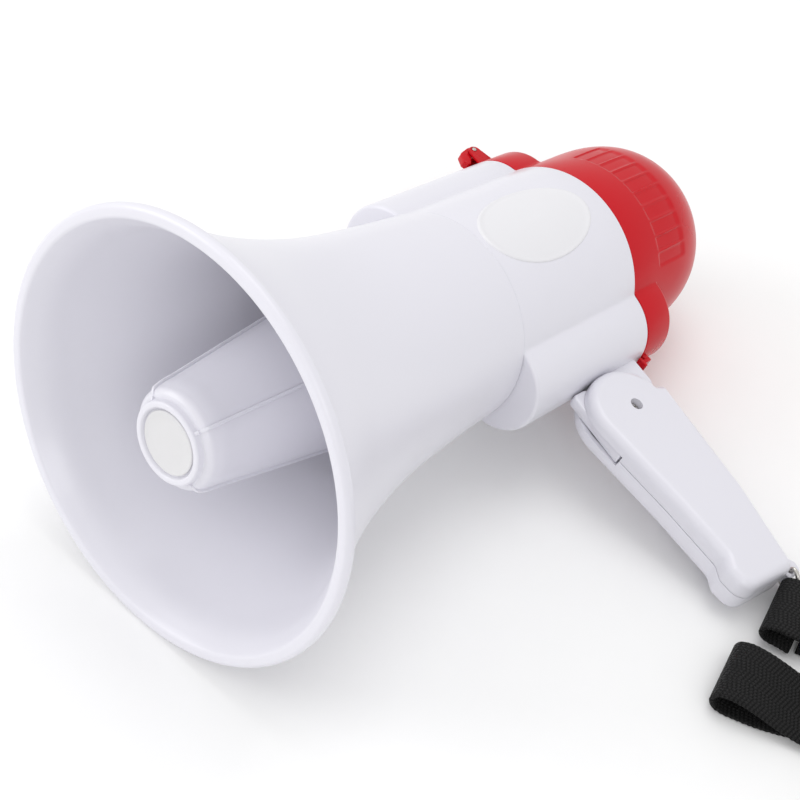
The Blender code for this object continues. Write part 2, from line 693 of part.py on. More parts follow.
def make_trigger(parent):
    axis = empty("trigger_axis", (0.0, *TRIGGER_PIN), parent)
    body = side_plate("talk_trigger", trigger_corners(),
                      [(-FIN_HALF, 0.4), (-FIN_HALF + 0.4, 0.0), (FIN_HALF - 0.4, 0.0), (FIN_HALF, 0.4)])
    trigger = add_piece("talk_trigger", body, white_plastic(), parent)
    cut(trigger, helper("cut_trigger_bore", cross_pin("trigger_bore", -9, 9, 1.3, *TRIGGER_PIN, 16), parent))
    hang(trigger, axis)
    add_piece("trigger_pin", cross_pin("trigger_pin", -5.9, 5.9, 1.0, *TRIGGER_PIN, 16), steel(), parent)


# ---------------------------------------------------------------- ring and strap


def ring_route():
    """The ring's wire: across the lug, down into the strap's fold, and back under the strap."""
    y, z = RING_BORE
    return [(3.0, y, z), (4.3, y, z - 0.7), (4.2, 184.3, -157.4), (2.3, 183.2, -160.0),
            (0.4, 169.0, -164.4), (-0.7, 154.9, -169.0), (-3.0, 153.8, -170.0),
            (-5.0, 154.6, -170.5), (-5.2, 158.5, -169.6), (-3.6, 184.0, -161.4),
            (-4.3, 184.5, -157.4), (-4.3, y, z - 0.7), (-3.0, y, z)]


def make_wrist_ring(parent):
    points = smooth_line([(*place, 0.0) for place in ring_route()], 2, closed=True)
    axis = empty("ring_axis", (0.0, *RING_BORE), parent)
    ring = add_wire("wrist_ring", [p[:3] for p in points], RING_WIRE, steel(), parent, cyclic=True)
    hang(ring, axis)


def strap_route():
    """The strap's middle line as (along, across, height, tilt), flat at 0 and on edge at 90 degrees.

    It starts at its sewn end on the table, folds up round the ring, runs out over itself, turns
    back on edge, folds over itself again, and turns back to the sewn end the long way round.
    """
    ring_fold = [(12.5, 0, 2.6, 0), (9.5, 0, 3.3, 0), (7.0, 0, 3.7, 0), (4.9, 0, 3.8, 0),
                 (2.0, 0, 4.9, 0), (0.8, 0, 7.4, 0), (2.0, 0, 10.0, 0), (4.9, 0, 11.2, 0),
                 (10.0, 0.4, 10.9, 0), (16.0, 1.4, 9.2, 0), (22.0, 2.2, 7.2, 0)]
    inner_turn = [(30.0, 2.6, 7.6, 12), (38.0, 2.4, 11.7, 30), (46.0, 2.1, 13.4, 52),
                  (54.0, 1.8, 14.3, 74), (62.0, 1.65, 14.5, 90), (72.0, -1.0, 14.5, 90),
                  (79.3, -8.3, 14.5, 90), (82.0, -18.3, 14.5, 90), (79.3, -28.3, 14.5, 90),
                  (72.0, -35.6, 14.5, 90), (62.0, -38.3, 14.5, 90), (55.0, -35.9, 13.5, 64),
                  (48.0, -33.3, 9.5, 36), (41.0, -32.2, 4.9, 14)]
    far_fold = [(34.0, -32.2, 1.3, 0), (28.0, -33.0, 1.1, 0), (20.0, -34.9, 1.1, 0),
                (12.0, -36.3, 1.1, 0), (5.0, -36.7, 1.1, 0), (-0.5, -36.7, 1.1, 0),
                (-3.5, -36.7, 2.35, 0), (-4.8, -36.7, 5.35, 0), (-3.5, -36.7, 8.35, 0),
                (-0.5, -36.7, 9.6, 0), (6.0, -36.7, 9.4, 0), (13.0, -36.7, 7.6, 0),
                (21.0, -36.7, 5.0, 0), (28.0, -36.7, 3.6, 0), (34.0, -36.9, 3.7, 0)]
    outer_turn = [(40.0, -38.6, 7.6, 14), (46.0, -43.0, 10.4, 38), (53.0, -50.0, 13.6, 66),
                  (62.0, -55.5, 14.5, 90), (76.0, -58.0, 14.5, 90), (92.0, -54.0, 14.5, 90),
                  (104.0, -42.0, 14.5, 90), (109.0, -24.0, 14.5, 90), (106.0, -5.0, 14.5, 90),
                  (97.0, 10.0, 14.5, 90), (83.0, 18.5, 14.5, 90), (69.0, 19.5, 14.5, 90),
                  (57.0, 15.8, 14.3, 74), (47.0, 11.0, 12.1, 52), (38.0, 6.2, 8.3, 30),
                  (30.0, 3.8, 4.3, 12), (22.0, 3.0, 1.4, 0), (14.5, 3.0, 1.1, 0)]
    return ring_fold + inner_turn + far_fold + outer_turn


def smooth_line(stations, steps, closed=False):
    """Points on a smooth curve through the stations, with the given steps between two of them."""
    stations = [Vector(s) for s in stations]
    count = len(stations)
    spans = count if closed else count - 1
    points = []

    def slope(i):
        before, here, after = stations[(i - 1) % count], stations[i % count], stations[(i + 1) % count]
        if not closed and i == 0:
            return (after - here) / (after - here).xyz.length
        if not closed and i == count - 1:
            return (here - before) / (here - before).xyz.length
        a, b = (here - before).xyz.length, (after - here).xyz.length
        return ((after - here) * (a / b) + (here - before) * (b / a)) / (a + b)

    for i in range(spans):
        low, high = stations[i], stations[(i + 1) % count]
        size = (high - low).xyz.length
        for k in range(steps):
            t = k / steps
            points.append(low * (2 * t ** 3 - 3 * t ** 2 + 1) + high * (3 * t ** 2 - 2 * t ** 3)
                          + slope(i) * size * (t ** 3 - 2 * t ** 2 + t)
                          + slope((i + 1) % count) * size * (t ** 3 - t ** 2))
    if not closed:
        points.append(stations[-1])
    return points


def make_strap(holder):
    """A band of webbing that lies on the table, one rectangular section after another."""
    heading = radians(STRAP_HEADING)
    along = Vector((cos(heading), sin(heading), 0))
    side = Vector((-sin(heading), cos(heading), 0))
    up = Vector((0, 0, 1))
    line = smooth_line(strap_route(), 2)
    places = [along * p[0] + side * p[1] + up * p[2] for p in line]
    rings = []
    for i, place in enumerate(places):
        way = (places[min(i + 1, len(places) - 1)] - places[max(i - 1, 0)]).normalized()
        tilt = radians(line[i][3])
        across = side * cos(tilt) + up * sin(tilt)
        flat = way.cross(across).normalized() * STRAP_THICK / 2
        across = across * STRAP_WIDTH / 2
        rings.append([place - across - flat, place + across - flat,
                      place + across + flat, place - across + flat])
    start = empty("strap_start", (0, 0, 0), None)
    start.location = Vector((holder.location.x, holder.location.y, 0)) + Vector((*STRAP_START, 0)) * MM
    add_piece("wrist_strap", stack_rings("wrist_strap", rings), webbing(), start)


def empty(name, place, parent):
    made = bpy.data.objects.new(name, None)
    bpy.context.collection.objects.link(made)
    made.parent = parent
    made.location = Vector(place) * MM
    return made


def hang(piece, axis):
    """Parent a moving piece to the empty on its joint's axis, without moving it."""
    piece.parent = axis
    piece.matrix_parent_inverse = Matrix.Translation(-axis.location)


def lying_matrix():
    """Turn from the frame in use to the frame in which it lies on its left side."""
    dip, roll = radians(AXIS_DIP), radians(HEEL_ROLL)
    up = Vector((cos(roll) * cos(dip), -sin(dip), sin(roll) * cos(dip)))
    rear = Vector((0, 1, 0))
    flat_rear = (rear - up * rear.dot(up)).normalized()
    side = flat_rear.cross(up)
    return Matrix((side, flat_rear, up)).to_4x4()


def rest_on_table(holder):
    """Put the origin at the middle of the base, before the strap is there."""
    bpy.context.view_layer.update()
    graph = bpy.context.evaluated_depsgraph_get()
    low, high = Vector((9, 9, 9)), Vector((-9, -9, -9))
    for piece in bpy.data.objects:
        if piece.type == "EMPTY" or piece.hide_render:
            continue
        solid = piece.evaluated_get(graph)
        mesh = solid.to_mesh()
        for corner in mesh.vertices:
            place = piece.matrix_world @ corner.co
            low = Vector(map(min, low, place))
            high = Vector(map(max, high, place))
        solid.to_mesh_clear()
    holder.location = Vector((-(low.x + high.x) / 2, -(low.y + high.y) / 2, -low.z))


def main():
    clear_scene()
    holder = empty("lying_megaphone", (0, 0, 0), None)
    holder.matrix_world = lying_matrix()
    make_horn(holder)
    make_tone_guide(holder)
    make_throat(holder)
    make_driver(holder)
    make_housing(holder)
    make_label(holder)
    make_batteries(holder)
    make_electronics(holder)
    make_rear_controls(holder)
    make_cap(holder)
    make_latch(holder)
    make_handle(holder)
    make_handle_parts(holder)
    make_trigger(holder)
    make_wrist_ring(holder)
    rest_on_table(holder)
    make_strap(holder)
    bpy.context.view_layer.update()


main()
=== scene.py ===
import json
from math import acos, atan2, cos, degrees, pi, radians, sin, sqrt

import bmesh
import bpy
from mathutils import Matrix, Vector


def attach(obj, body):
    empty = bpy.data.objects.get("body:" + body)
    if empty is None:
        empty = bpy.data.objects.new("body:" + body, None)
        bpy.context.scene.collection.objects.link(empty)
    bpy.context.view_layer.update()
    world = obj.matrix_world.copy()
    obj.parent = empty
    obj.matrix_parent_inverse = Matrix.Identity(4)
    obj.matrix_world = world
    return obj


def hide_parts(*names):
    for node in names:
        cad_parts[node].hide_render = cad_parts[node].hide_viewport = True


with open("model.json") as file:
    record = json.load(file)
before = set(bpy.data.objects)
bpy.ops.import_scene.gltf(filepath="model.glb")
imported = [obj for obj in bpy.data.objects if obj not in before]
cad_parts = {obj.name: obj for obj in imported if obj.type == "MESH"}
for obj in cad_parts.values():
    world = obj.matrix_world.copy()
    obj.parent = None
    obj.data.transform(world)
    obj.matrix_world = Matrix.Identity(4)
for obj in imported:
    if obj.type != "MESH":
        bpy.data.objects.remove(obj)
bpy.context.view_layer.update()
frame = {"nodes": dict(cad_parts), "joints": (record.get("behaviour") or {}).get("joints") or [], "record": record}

mm = 0.001
joints = {joint["name"]: joint for joint in frame["joints"]}

# Pieces are drawn in millimetres as the megaphone is held in use: x right, y back from the mouth, z up.
acrossAxis = Vector(joints["handle_fold"]["axis"])
rearAxis = Vector(joints["cap_slide"]["axis"])
upAxis = acrossAxis.cross(rearAxis)
pivot = {"y": 178.5, "z": -71.0}
pivotPoint = Vector(joints["handle_fold"]["pos_m"])
mouth = pivotPoint - rearAxis * pivot["y"] * mm - upAxis * pivot["z"] * mm
turn = Matrix((acrossAxis, rearAxis, upAxis)).transposed()
toTable = Matrix.Translation(mouth) @ turn.to_4x4() @ Matrix.Scale(mm, 4)
print("frame read, mouth of the horn at", [round(value, 4) for value in mouth])


class socketValue:
    # a node's output that can be reckoned with like a number
    def __init__(self, graph, socket):
        self.graph, self.socket = graph, socket

    def maths(self, operation, other, swapped=False):
        pair = (other, self) if swapped else (self, other)
        return self.graph.node("ShaderNodeMath", {"operation": operation}, {0: pair[0], 1: pair[1]})

    def __add__(self, other):
        return self.maths("ADD", other)

    def __radd__(self, other):
        return self.maths("ADD", other, True)

    def __sub__(self, other):
        return self.maths("SUBTRACT", other)

    def __rsub__(self, other):
        return self.maths("SUBTRACT", other, True)

    def __mul__(self, other):
        return self.maths("MULTIPLY", other)

    def __rmul__(self, other):
        return self.maths("MULTIPLY", other, True)

    def __truediv__(self, other):
        return self.maths("DIVIDE", other)

    def __rtruediv__(self, other):
        return self.maths("DIVIDE", other, True)

    def __pow__(self, other):
        return self.maths("POWER", other)

    def __rpow__(self, other):
        return self.maths("POWER", other, True)


class materialGraph:
    # one material; fixed values go straight onto the shader's sockets
    def __init__(self, name, **fixed):
        self.material = bpy.data.materials.new(name)
        self.material.use_nodes = True
        self.tree = self.material.node_tree
        self.shader = self.tree.nodes["Principled BSDF"]
        for key, value in fixed.items():
            self.put(self.shader.inputs[spaced(key)], value)

    def put(self, socket, value):
        if isinstance(value, socketValue):
            self.tree.links.new(value.socket, socket)
        elif socket.type == "RGBA":
            socket.default_value = (*value, 1.0)
        else:
            socket.default_value = value

    def node(self, kind, settings=None, sockets=None, output=0):
        made = self.tree.nodes.new(kind)
        for key, value in (settings or {}).items():
            if key == "stops":
                for element, (position, shade) in zip(made.color_ramp.elements, value):
                    element.position, element.color = position, (shade, shade, shade, 1.0)
            else:
                setattr(made, key, value)
        for key, value in (sockets or {}).items():
            self.put(made.inputs[key], value)
        return socketValue(self, made.outputs[output])

    def single(self, operation, value):
        return self.node("ShaderNodeMath", {"operation": operation}, {0: value})

    def noise(self, scale, detail=3.0, roughness=0.5):
        spot = self.node("ShaderNodeTexCoord", output=3)  # the object's own coordinates
        return self.node("ShaderNodeTexNoise", {}, {"Vector": spot, "Scale": scale, "Detail": detail,
                                                    "Roughness": roughness})

    def ramp(self, value, stops):
        return self.node("ShaderNodeValToRGB", {"stops": stops}, {0: value})

    def blendColours(self, factor, first, second):
        return self.node("ShaderNodeMix", {"data_type": "RGBA"}, {0: factor, 6: first, 7: second}, 2)

    def bump(self, height, depth):
        return self.node("ShaderNodeBump", {}, {"Height": height, "Distance": depth})

    def drive(self, **links):
        for key, value in links.items():
            self.put(self.shader.inputs[spaced(key)], value)
        return self.material


def spaced(key):
    # the shader's socket name for a camel case key
    words = "".join(" " + letter if letter.isupper() else letter for letter in key)
    named = words.title()
    return {"Ior": "IOR", "Coat Ior": "Coat IOR", "Specular Ior Level": "Specular IOR Level"}.get(named, named)


# colours and finish of the three plastics
whiteLook = {"base": (0.725, 0.717, 0.775), "shade": (0.71, 0.702, 0.76), "roughness": 0.3, "coat": 0.1,
             "shine": 0.5}
redLook = {"base": (0.54, 0.004, 0.011), "shade": (0.48, 0.003, 0.009), "roughness": 0.27, "coat": 0.05,
           "shine": 0.22}
blackLook = {"base": (0.022, 0.022, 0.024), "shade": (0.045, 0.045, 0.048), "roughness": 0.42, "coat": 0.0,
             "shine": 0.4}


def mouldedPlastic(name, look, grain=0.000004):
    graph = materialGraph(name, ior=1.49, coatRoughness=0.06, specularIorLevel=look["shine"])
    clouds = graph.noise(9.0, 2.0)
    smudge = graph.ramp(graph.noise(30.0, 3.0), [(0.35, 0.0), (0.75, 1.0)])
    peel = graph.noise(700.0, 1.0)
    pits = graph.noise(3200.0, 1.0)
    return graph.drive(
        baseColor=graph.blendColours(clouds * 0.5, look["base"], look["shade"]),
        roughness=look["roughness"] + smudge * 0.02,
        coatWeight=look["coat"] - smudge * look["coat"] * 0.1,
        normal=graph.bump(peel * 0.4 + pits * 0.6, grain))


def satinFilm(name, base, shade):
    graph = materialGraph(name, ior=1.45)
    weave = graph.noise(3200.0, 1.0)
    return graph.drive(baseColor=graph.blendColours(graph.noise(30.0), base, shade),
                       roughness=0.38 + graph.noise(70.0) * 0.08, normal=graph.bump(weave, 0.00001))


def plainMetal(name, base, dark, roughness):
    graph = materialGraph(name, metallic=1.0)
    brushed = graph.noise(1500.0, 3.0, 0.6)
    tarnish = graph.ramp(graph.noise(90.0, 5.0), [(0.45, 0.0), (0.75, 1.0)])
    return graph.drive(baseColor=graph.blendColours(tarnish * 0.7, base, dark),
                       roughness=roughness + brushed * 0.12 + tarnish * 0.1,
                       normal=graph.bump(brushed, 0.00001))


def speckledSolid(name, base, fleck, roughness, scale=700.0):
    graph = materialGraph(name)
    grains = graph.noise(scale, 3.0, 0.7)
    return graph.drive(baseColor=graph.blendColours(graph.ramp(grains, [(0.45, 0.0), (0.6, 1.0)]), base, fleck),
                       roughness=roughness + grains * 0.1, normal=graph.bump(grains, 0.00003))


def wovenNylon():
    look = {"pitchAlong": 1.55, "pitchAcross": 1.3, "columns": 4.0, "slant": 0.25, "relief": 0.00045}
    graph = materialGraph("wovenNylon", sheenWeight=0.04, sheenRoughness=0.4, specularIorLevel=0.22)
    spot = graph.node("ShaderNodeAttribute", {"attribute_name": "webPlace"}, output=1)
    parts = {name: graph.node("ShaderNodeSeparateXYZ", {}, {0: spot}, output=k) for k, name in enumerate("xyz")}
    column = parts["y"] / look["pitchAcross"]
    chevron = graph.single("FLOOR", column).maths("PINGPONG", look["columns"])
    row = parts["x"] / look["pitchAlong"] + chevron * look["slant"]
    ribs = graph.single("ABSOLUTE", graph.single("SINE", column * pi))
    knots = graph.single("ABSOLUTE", graph.single("SINE", row * pi))
    height = (ribs ** 0.6) * (knots ** 0.8)
    fibres = graph.noise(4200.0, 2.0, 0.6)
    # painted highlight: the crests of the weave are coloured lighter, and the hollows between threads darker as
    # painted shade; the fibre noise mixed in is the threads' own random tone
    light = graph.ramp(height * 0.85 + fibres * 0.25, [(0.35, 0.0), (1.0, 1.0)])
    return graph.drive(baseColor=graph.blendColours(light, (0.0016, 0.0016, 0.0017), (0.0125, 0.0122, 0.0125)),
                       roughness=0.55 + fibres * 0.2,
                       normal=graph.bump(height + fibres * 0.15, look["relief"]))


looks = {
    "white_plastic": mouldedPlastic("whitePlastic", whiteLook),
    "red_plastic": mouldedPlastic("redPlastic", redLook),
    "black_plastic": mouldedPlastic("blackPlastic", blackLook, 0.00004),
    "steel": plainMetal("nickelSteel", (0.62, 0.60, 0.57), (0.42, 0.40, 0.38), 0.2),
    "brass": plainMetal("plainBrass", (0.72, 0.56, 0.28), (0.45, 0.33, 0.15), 0.26),
    "ferrite": speckledSolid("ferriteBlack", (0.03, 0.03, 0.033), (0.07, 0.07, 0.075), 0.6),
    "cell_wrap": speckledSolid("cellWrap", (0.07, 0.12, 0.2), (0.09, 0.15, 0.24), 0.3, 60.0),
    "circuit_green": speckledSolid("circuitGreen", (0.01, 0.12, 0.05), (0.02, 0.17, 0.07), 0.35, 200.0),
    "label_white": satinFilm("satinFilm", (0.755, 0.75, 0.775), (0.735, 0.73, 0.755)),
    "webbing": wovenNylon(),
}
badgeFilm = satinFilm("badgeFilm", (0.68, 0.675, 0.685), (0.66, 0.655, 0.665))
slotOf = {part["node"]: part["material_slot"] for part in frame["record"]["subparts"]}
print("materials made:", len(looks))


def linked(name, data):
    made = bpy.data.objects.new(name, data)
    bpy.context.scene.collection.objects.link(made)
    return made


def meshFrom(name, builder, sharpAngle=35.0, place=None):
    bmesh.ops.recalc_face_normals(builder, faces=builder.faces)
    made = bpy.data.meshes.new(name)
    builder.to_mesh(made)
    builder.free()
    made.transform(toTable if place is None else place)
    made.shade_smooth()
    made.set_sharp_from_angle(angle=radians(sharpAngle))
    return made


def joinRows(builder, rows, closed=False):
    # faces from each ring of vertices to the next, with flat ends or round to the first ring again
    count = len(rows[0])
    for low, high in zip(rows, rows[1:] + rows[:1] if closed else rows[1:]):
        for i in range(count):
            j = (i + 1) % count
            builder.faces.new((low[i], low[j], high[j], high[i]))
    if not closed:
        builder.faces.new(rows[0])
        builder.faces.new(list(reversed(rows[-1])))


def skin(name, rings, closed=False):
    builder = bmesh.new()
    joinRows(builder, [[builder.verts.new(Vector(point)) for point in ring] for ring in rings], closed)
    return meshFrom(name, builder)


def rounded(corners, step=9.0, inset=0.0):
    # a closed outline from corners (a, b, radius), pulled in by inset, with a point every step degrees
    count = len(corners)
    area = sum(corners[i][0] * corners[(i + 1) % count][1] - corners[(i + 1) % count][0] * corners[i][1]
               for i in range(count))
    way = 1.0 if area > 0 else -1.0
    points = []
    for i in range(count):
        before, here, after = (Vector(corners[k % count][:2]) for k in (i - 1, i, i + 1))
        into, out = (here - before).normalized(), (after - here).normalized()
        bend = way * (into.x * out.y - into.y * out.x)
        angle = acos(max(-1.0, min(1.0, into.dot(out))))
        inward = Vector((-into.y, into.x)) * way
        outward = Vector((-out.y, out.x)) * way
        sign = 1 if bend > 0 else -1
        centre = here + (inward + outward).normalized() * sign * corners[i][2] / cos(angle / 2)
        radius = max(0.04, corners[i][2] - inset) if bend > 0 else corners[i][2] + inset
        start = atan2(-inward.y * sign, -inward.x * sign)
        steps = max(1, round(degrees(angle) / step))
        for k in range(steps + 1):
            turned = start + way * sign * angle * k / steps
            points.append(centre + radius * Vector((cos(turned), sin(turned))))
    return points


def openLine(corners, step=12.0):
    # a line through corners (a, b, radius), rounded at all but its ends
    points = [Vector(corners[0][:2])]
    for i in range(1, len(corners) - 1):
        before, here, after = (Vector(corners[k][:2]) for k in (i - 1, i, i + 1))
        into, out = (here - before).normalized(), (after - here).normalized()
        angle = acos(max(-1.0, min(1.0, into.dot(out))))
        if angle < 0.02 or corners[i][2] == 0:
            points.append(here)
            continue
        sign = 1 if into.x * out.y - into.y * out.x > 0 else -1
        inward = Vector((-into.y, into.x)) * sign
        outward = Vector((-out.y, out.x)) * sign
        centre = here + (inward + outward).normalized() * corners[i][2] / cos(angle / 2)
        start = atan2(-inward.y, -inward.x)
        steps = max(2, round(degrees(angle) / step))
        points += [centre + corners[i][2] * Vector((cos(start + sign * angle * k / steps),
                                                    sin(start + sign * angle * k / steps)))
                   for k in range(steps + 1)]
    return points + [Vector(corners[-1][:2])]


def smoothLine(stations, steps, closed=False):
    # a smooth curve through stations; a fourth value rides along and adds nothing to the length
    stations = [Vector(station) for station in stations]
    count = len(stations)
    size = len(stations[0])

    def gap(a, b):
        return (b - a).xyz.length if size > 3 else (b - a).length

    def slope(i):
        before, here, after = stations[(i - 1) % count], stations[i % count], stations[(i + 1) % count]
        if not closed and i == 0:
            return (after - here) / gap(here, after)
        if not closed and i == count - 1:
            return (here - before) / gap(before, here)
        a, b = gap(before, here), gap(here, after)
        return ((after - here) * (a / b) + (here - before) * (b / a)) / (a + b)

    points = []
    for i in range(count if closed else count - 1):
        low, high = stations[i], stations[(i + 1) % count]
        length = gap(low, high)
        for k in range(steps):
            t = k / steps
            points.append(low * (2 * t ** 3 - 3 * t ** 2 + 1) + high * (3 * t ** 2 - 2 * t ** 3)
                          + slope(i) * length * (t ** 3 - 2 * t ** 2 + t)
                          + slope((i + 1) % count) * length * (t ** 3 - t ** 2))
    if not closed:
        points.append(stations[-1])
    return points


def circle(y, radius, sides=144, x=0.0, z=0.0):
    # points round the horn's axis, or round a line beside it through x and z
    return [(x + radius * sin(2 * pi * i / sides), y, z + radius * cos(2 * pi * i / sides)) for i in range(sides)]


def smoothProfile(pairs, steps):
    return [tuple(point[:2]) for point in smoothLine([(y, radius, 0) for y, radius in pairs], steps)]


def spun(name, profile, sides=144, x=0.0, z=0.0, closed=True):
    return skin(name, [circle(y, radius, sides, x, z) for y, radius in profile], closed)


def plate(name, corners, layers, step=9.0):
    # a plate across x whose outline in y and z is pulled in by each layer's inset
    return skin(name, [[(x, p.x, p.y) for p in rounded(corners, step, inset)] for x, inset in layers])


def addPiece(name, mesh, body, slot, replaced=(), look=None):
    mesh.materials.append(look or looks[slot])
    piece = linked(name, mesh)
    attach(piece, body)
    if replaced:
        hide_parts(*replaced)
    return piece


def applied(base, helpers, sharpAngle):
    # the mesh an object has with its modifiers; the objects that made it are removed
    graph = bpy.context.evaluated_depsgraph_get()
    made = bpy.data.meshes.new_from_object(base.evaluated_get(graph))
    for extra in helpers + [base]:
        bpy.data.objects.remove(extra)
    made.materials.clear()
    made.shade_smooth()
    made.set_sharp_from_angle(angle=radians(sharpAngle))
    return made


def shapeWith(mesh, tools, operation="DIFFERENCE"):
    # cut tool meshes out of a mesh, or join them on
    base = linked("shapeBase", mesh)
    helpers = [linked("shapeTool", tool) for tool in tools]
    for helper in helpers:
        step = base.modifiers.new("shape", "BOOLEAN")
        step.object, step.operation, step.solver = helper, operation, "EXACT"
    return applied(base, helpers, 35.0)


def softenEdges(mesh, width):
    # round the sharp edges of a mesh by a small bevel
    base = linked("softBase", mesh)
    bevel = base.modifiers.new("soft", "BEVEL")
    bevel.width, bevel.segments, bevel.limit_method = width * mm, 3, "ANGLE"
    bevel.angle_limit = radians(35.0)
    bevel.use_clamp_overlap = True
    return applied(base, [], 60.0)


def crossTurned(name, profile, y, z, sides=48):
    # a solid turned about a line across the megaphone, from pairs of x and radius
    return skin(name, [[(x, y + radius * cos(2 * pi * i / sides), z + radius * sin(2 * pi * i / sides))
                        for i in range(sides)] for x, radius in profile])


def crossPin(name, xFrom, xTo, radius, y, z, sides=48):
    return crossTurned(name, [(xFrom, radius), (xTo, radius)], y, z, sides)


def box(name, low, high):
    return skin(name, [[(low[0], y, low[2]), (high[0], y, low[2]), (high[0], y, high[2]), (low[0], y, high[2])]
                       for y in (low[1], high[1])])


def pulse(value, low, high, edge):
    # 1 between low and high, falling smoothly to 0 over edge on both sides
    def rise(t):
        t = max(0.0, min(1.0, t))
        return t * t * (3 - 2 * t)
    return rise((value - low) / edge) * rise((high - value) / edge)


# the camera comes first, then the strap
view = {"place": (416.7, -318.7, -182.8), "right": (0.40329, 0.65585, -0.63814),
        "up": (0.60549, 0.33162, 0.72347), "lens": 76.5, "sensor": 36.0}


def addCamera():
    camera = bpy.data.cameras.new("viewCamera")
    camera.lens, camera.sensor_width = view["lens"], view["sensor"]
    camera.clip_start, camera.clip_end = 0.01, 20.0
    holder = linked("viewCamera", camera)
    right = (turn @ Vector(view["right"])).normalized()
    up = (turn @ Vector(view["up"])).normalized()
    up = (up - right * up.dot(right)).normalized()
    pose = Matrix((right, up, right.cross(up))).transposed().to_4x4()
    holder.matrix_world = Matrix.Translation(toTable @ Vector(view["place"])) @ pose
    bpy.context.scene.camera = holder


strap = {"width": 28.0, "thick": 1.6, "start": (153.2, 157.0), "heading": 16.0, "rib": 2.1, "notch": 0.45,
         "selvedge": 0.04, "steps": 18}
# stations are along, aside and above the start in mm, with the tilt of the strap's width in degrees
ringFold = [(12.5, 0, 2.6, 0), (9.5, 0, 3.3, 0), (7.0, 0, 3.7, 0), (4.9, 0, 3.8, 0), (2.0, 0, 4.9, 0),
            (0.8, 0, 7.4, 0), (2.0, 0, 10.0, 0), (4.9, 0, 11.2, 0), (10.0, 0.4, 10.9, 0),
            (16.0, 1.4, 9.2, 0), (22.0, 2.2, 7.2, 0)]
innerTurn = [(30.0, 2.6, 7.6, 12), (38.0, 2.4, 11.7, 30), (46.0, 2.1, 13.4, 52), (54.0, 1.8, 14.3, 74),
             (62.0, 1.65, 14.5, 90), (72.0, -1.0, 14.5, 90), (79.3, -8.3, 14.5, 90),
             (82.0, -18.3, 14.5, 90), (79.3, -28.3, 14.5, 90), (72.0, -35.6, 14.5, 90),
             (62.0, -38.3, 14.5, 90), (55.0, -35.9, 13.5, 64), (48.0, -33.3, 9.5, 36), (41.0, -32.2, 4.9, 14)]
farFold = [(34.0, -32.2, 1.3, 0), (28.0, -33.0, 1.1, 0), (20.0, -34.9, 1.1, 0), (12.0, -36.3, 1.1, 0),
           (5.0, -36.7, 1.1, 0), (-0.5, -36.7, 1.1, 0), (-3.5, -36.7, 2.35, 0), (-4.8, -36.7, 5.35, 0),
           (-3.5, -36.7, 8.35, 0), (-0.5, -36.7, 9.6, 0), (6.0, -36.7, 9.4, 0), (13.0, -36.7, 7.6, 0),
           (21.0, -36.7, 5.0, 0), (28.0, -36.7, 3.6, 0), (34.0, -36.9, 3.7, 0)]
outerTurn = [(40.0, -38.6, 7.6, 14), (46.0, -43.0, 10.4, 38), (53.0, -50.0, 13.6, 66),
             (62.0, -55.5, 14.5, 90), (76.0, -58.0, 14.5, 90), (92.0, -54.0, 14.5, 90),
             (104.0, -42.0, 14.5, 90), (109.0, -24.0, 14.5, 90), (106.0, -5.0, 14.5, 90),
             (97.0, 10.0, 14.5, 90), (83.0, 18.5, 14.5, 90), (69.0, 19.5, 14.5, 90),
             (57.0, 15.8, 14.3, 74), (47.0, 11.0, 12.1, 52), (38.0, 6.2, 8.3, 30), (30.0, 3.8, 4.3, 12),
             (22.0, 3.0, 1.4, 0), (14.5, 3.0, 1.1, 0)]
stitch = {"long": 1.7, "thick": 0.3, "step": 2.5, "boxStart": 29.0, "boxEnd": 44.0, "reach": 11.6, "proud": 0.12,
          "sink": 0.3, "sides": 8}


def addStitches(frames):
    # a sewn box with a cross in it, on the upper face of the strap behind the ring's fold
    start, end, reach = stitch["boxStart"], stitch["boxEnd"], stitch["reach"]
    seams = [((start, -reach), (end, -reach)), ((end, -reach), (end, reach)), ((end, reach), (start, reach)),
             ((start, reach), (start, -reach)), ((start, -reach), (end, reach)), ((start, reach), (end, -reach))]
    builder = bmesh.new()
    for first, last in seams:
        first, last = Vector(first), Vector(last)
        span, slant = (last - first).length, (last - first).normalized()
        for k in range(int(span / stitch["step"])):
            spot = first.lerp(last, (k + 0.5) * stitch["step"] / span)
            gone, place, way, wide, flat = min(frames, key=lambda row: abs(row[0] - spot.x))
            upward = flat if flat.z > 0 else -flat
            run = way * slant.x + wide * slant.y
            cross = upward.cross(run)
            middle = place + way * (spot.x - gone) + wide * spot.y + upward * (strap["thick"] / 2)
            rings = []
            for along, size in ((-0.5, 0.35), (-0.3, 0.9), (0.0, 1.0), (0.3, 0.9), (0.5, 0.35)):
                lift = stitch["proud"] - stitch["sink"] * (2 * along) ** 2  # both ends dip into the webbing
                centre = middle + run * along * stitch["long"] + upward * lift
                angles = [2 * pi * i / stitch["sides"] for i in range(stitch["sides"])]
                rings.append([builder.verts.new(centre + stitch["thick"] * size
                                                * (cross * cos(a) + upward * 0.8 * sin(a))) for a in angles])
            joinRows(builder, rings)
    mesh = meshFrom("strapStitches", builder, 60.0, Matrix.Scale(mm, 4))
    return addPiece("strapStitches", mesh, "wrist_ring", "webbing", (), sewingThread())


def sewingThread():
    graph = materialGraph("sewingThread", specularIorLevel=0.3)
    strands = graph.noise(5200.0, 2.0, 0.6)
    return graph.drive(baseColor=graph.blendColours(strands, (0.004, 0.004, 0.0042), (0.03, 0.029, 0.03)),
                       roughness=0.5 + strands * 0.2, normal=graph.bump(strands, 0.00005))


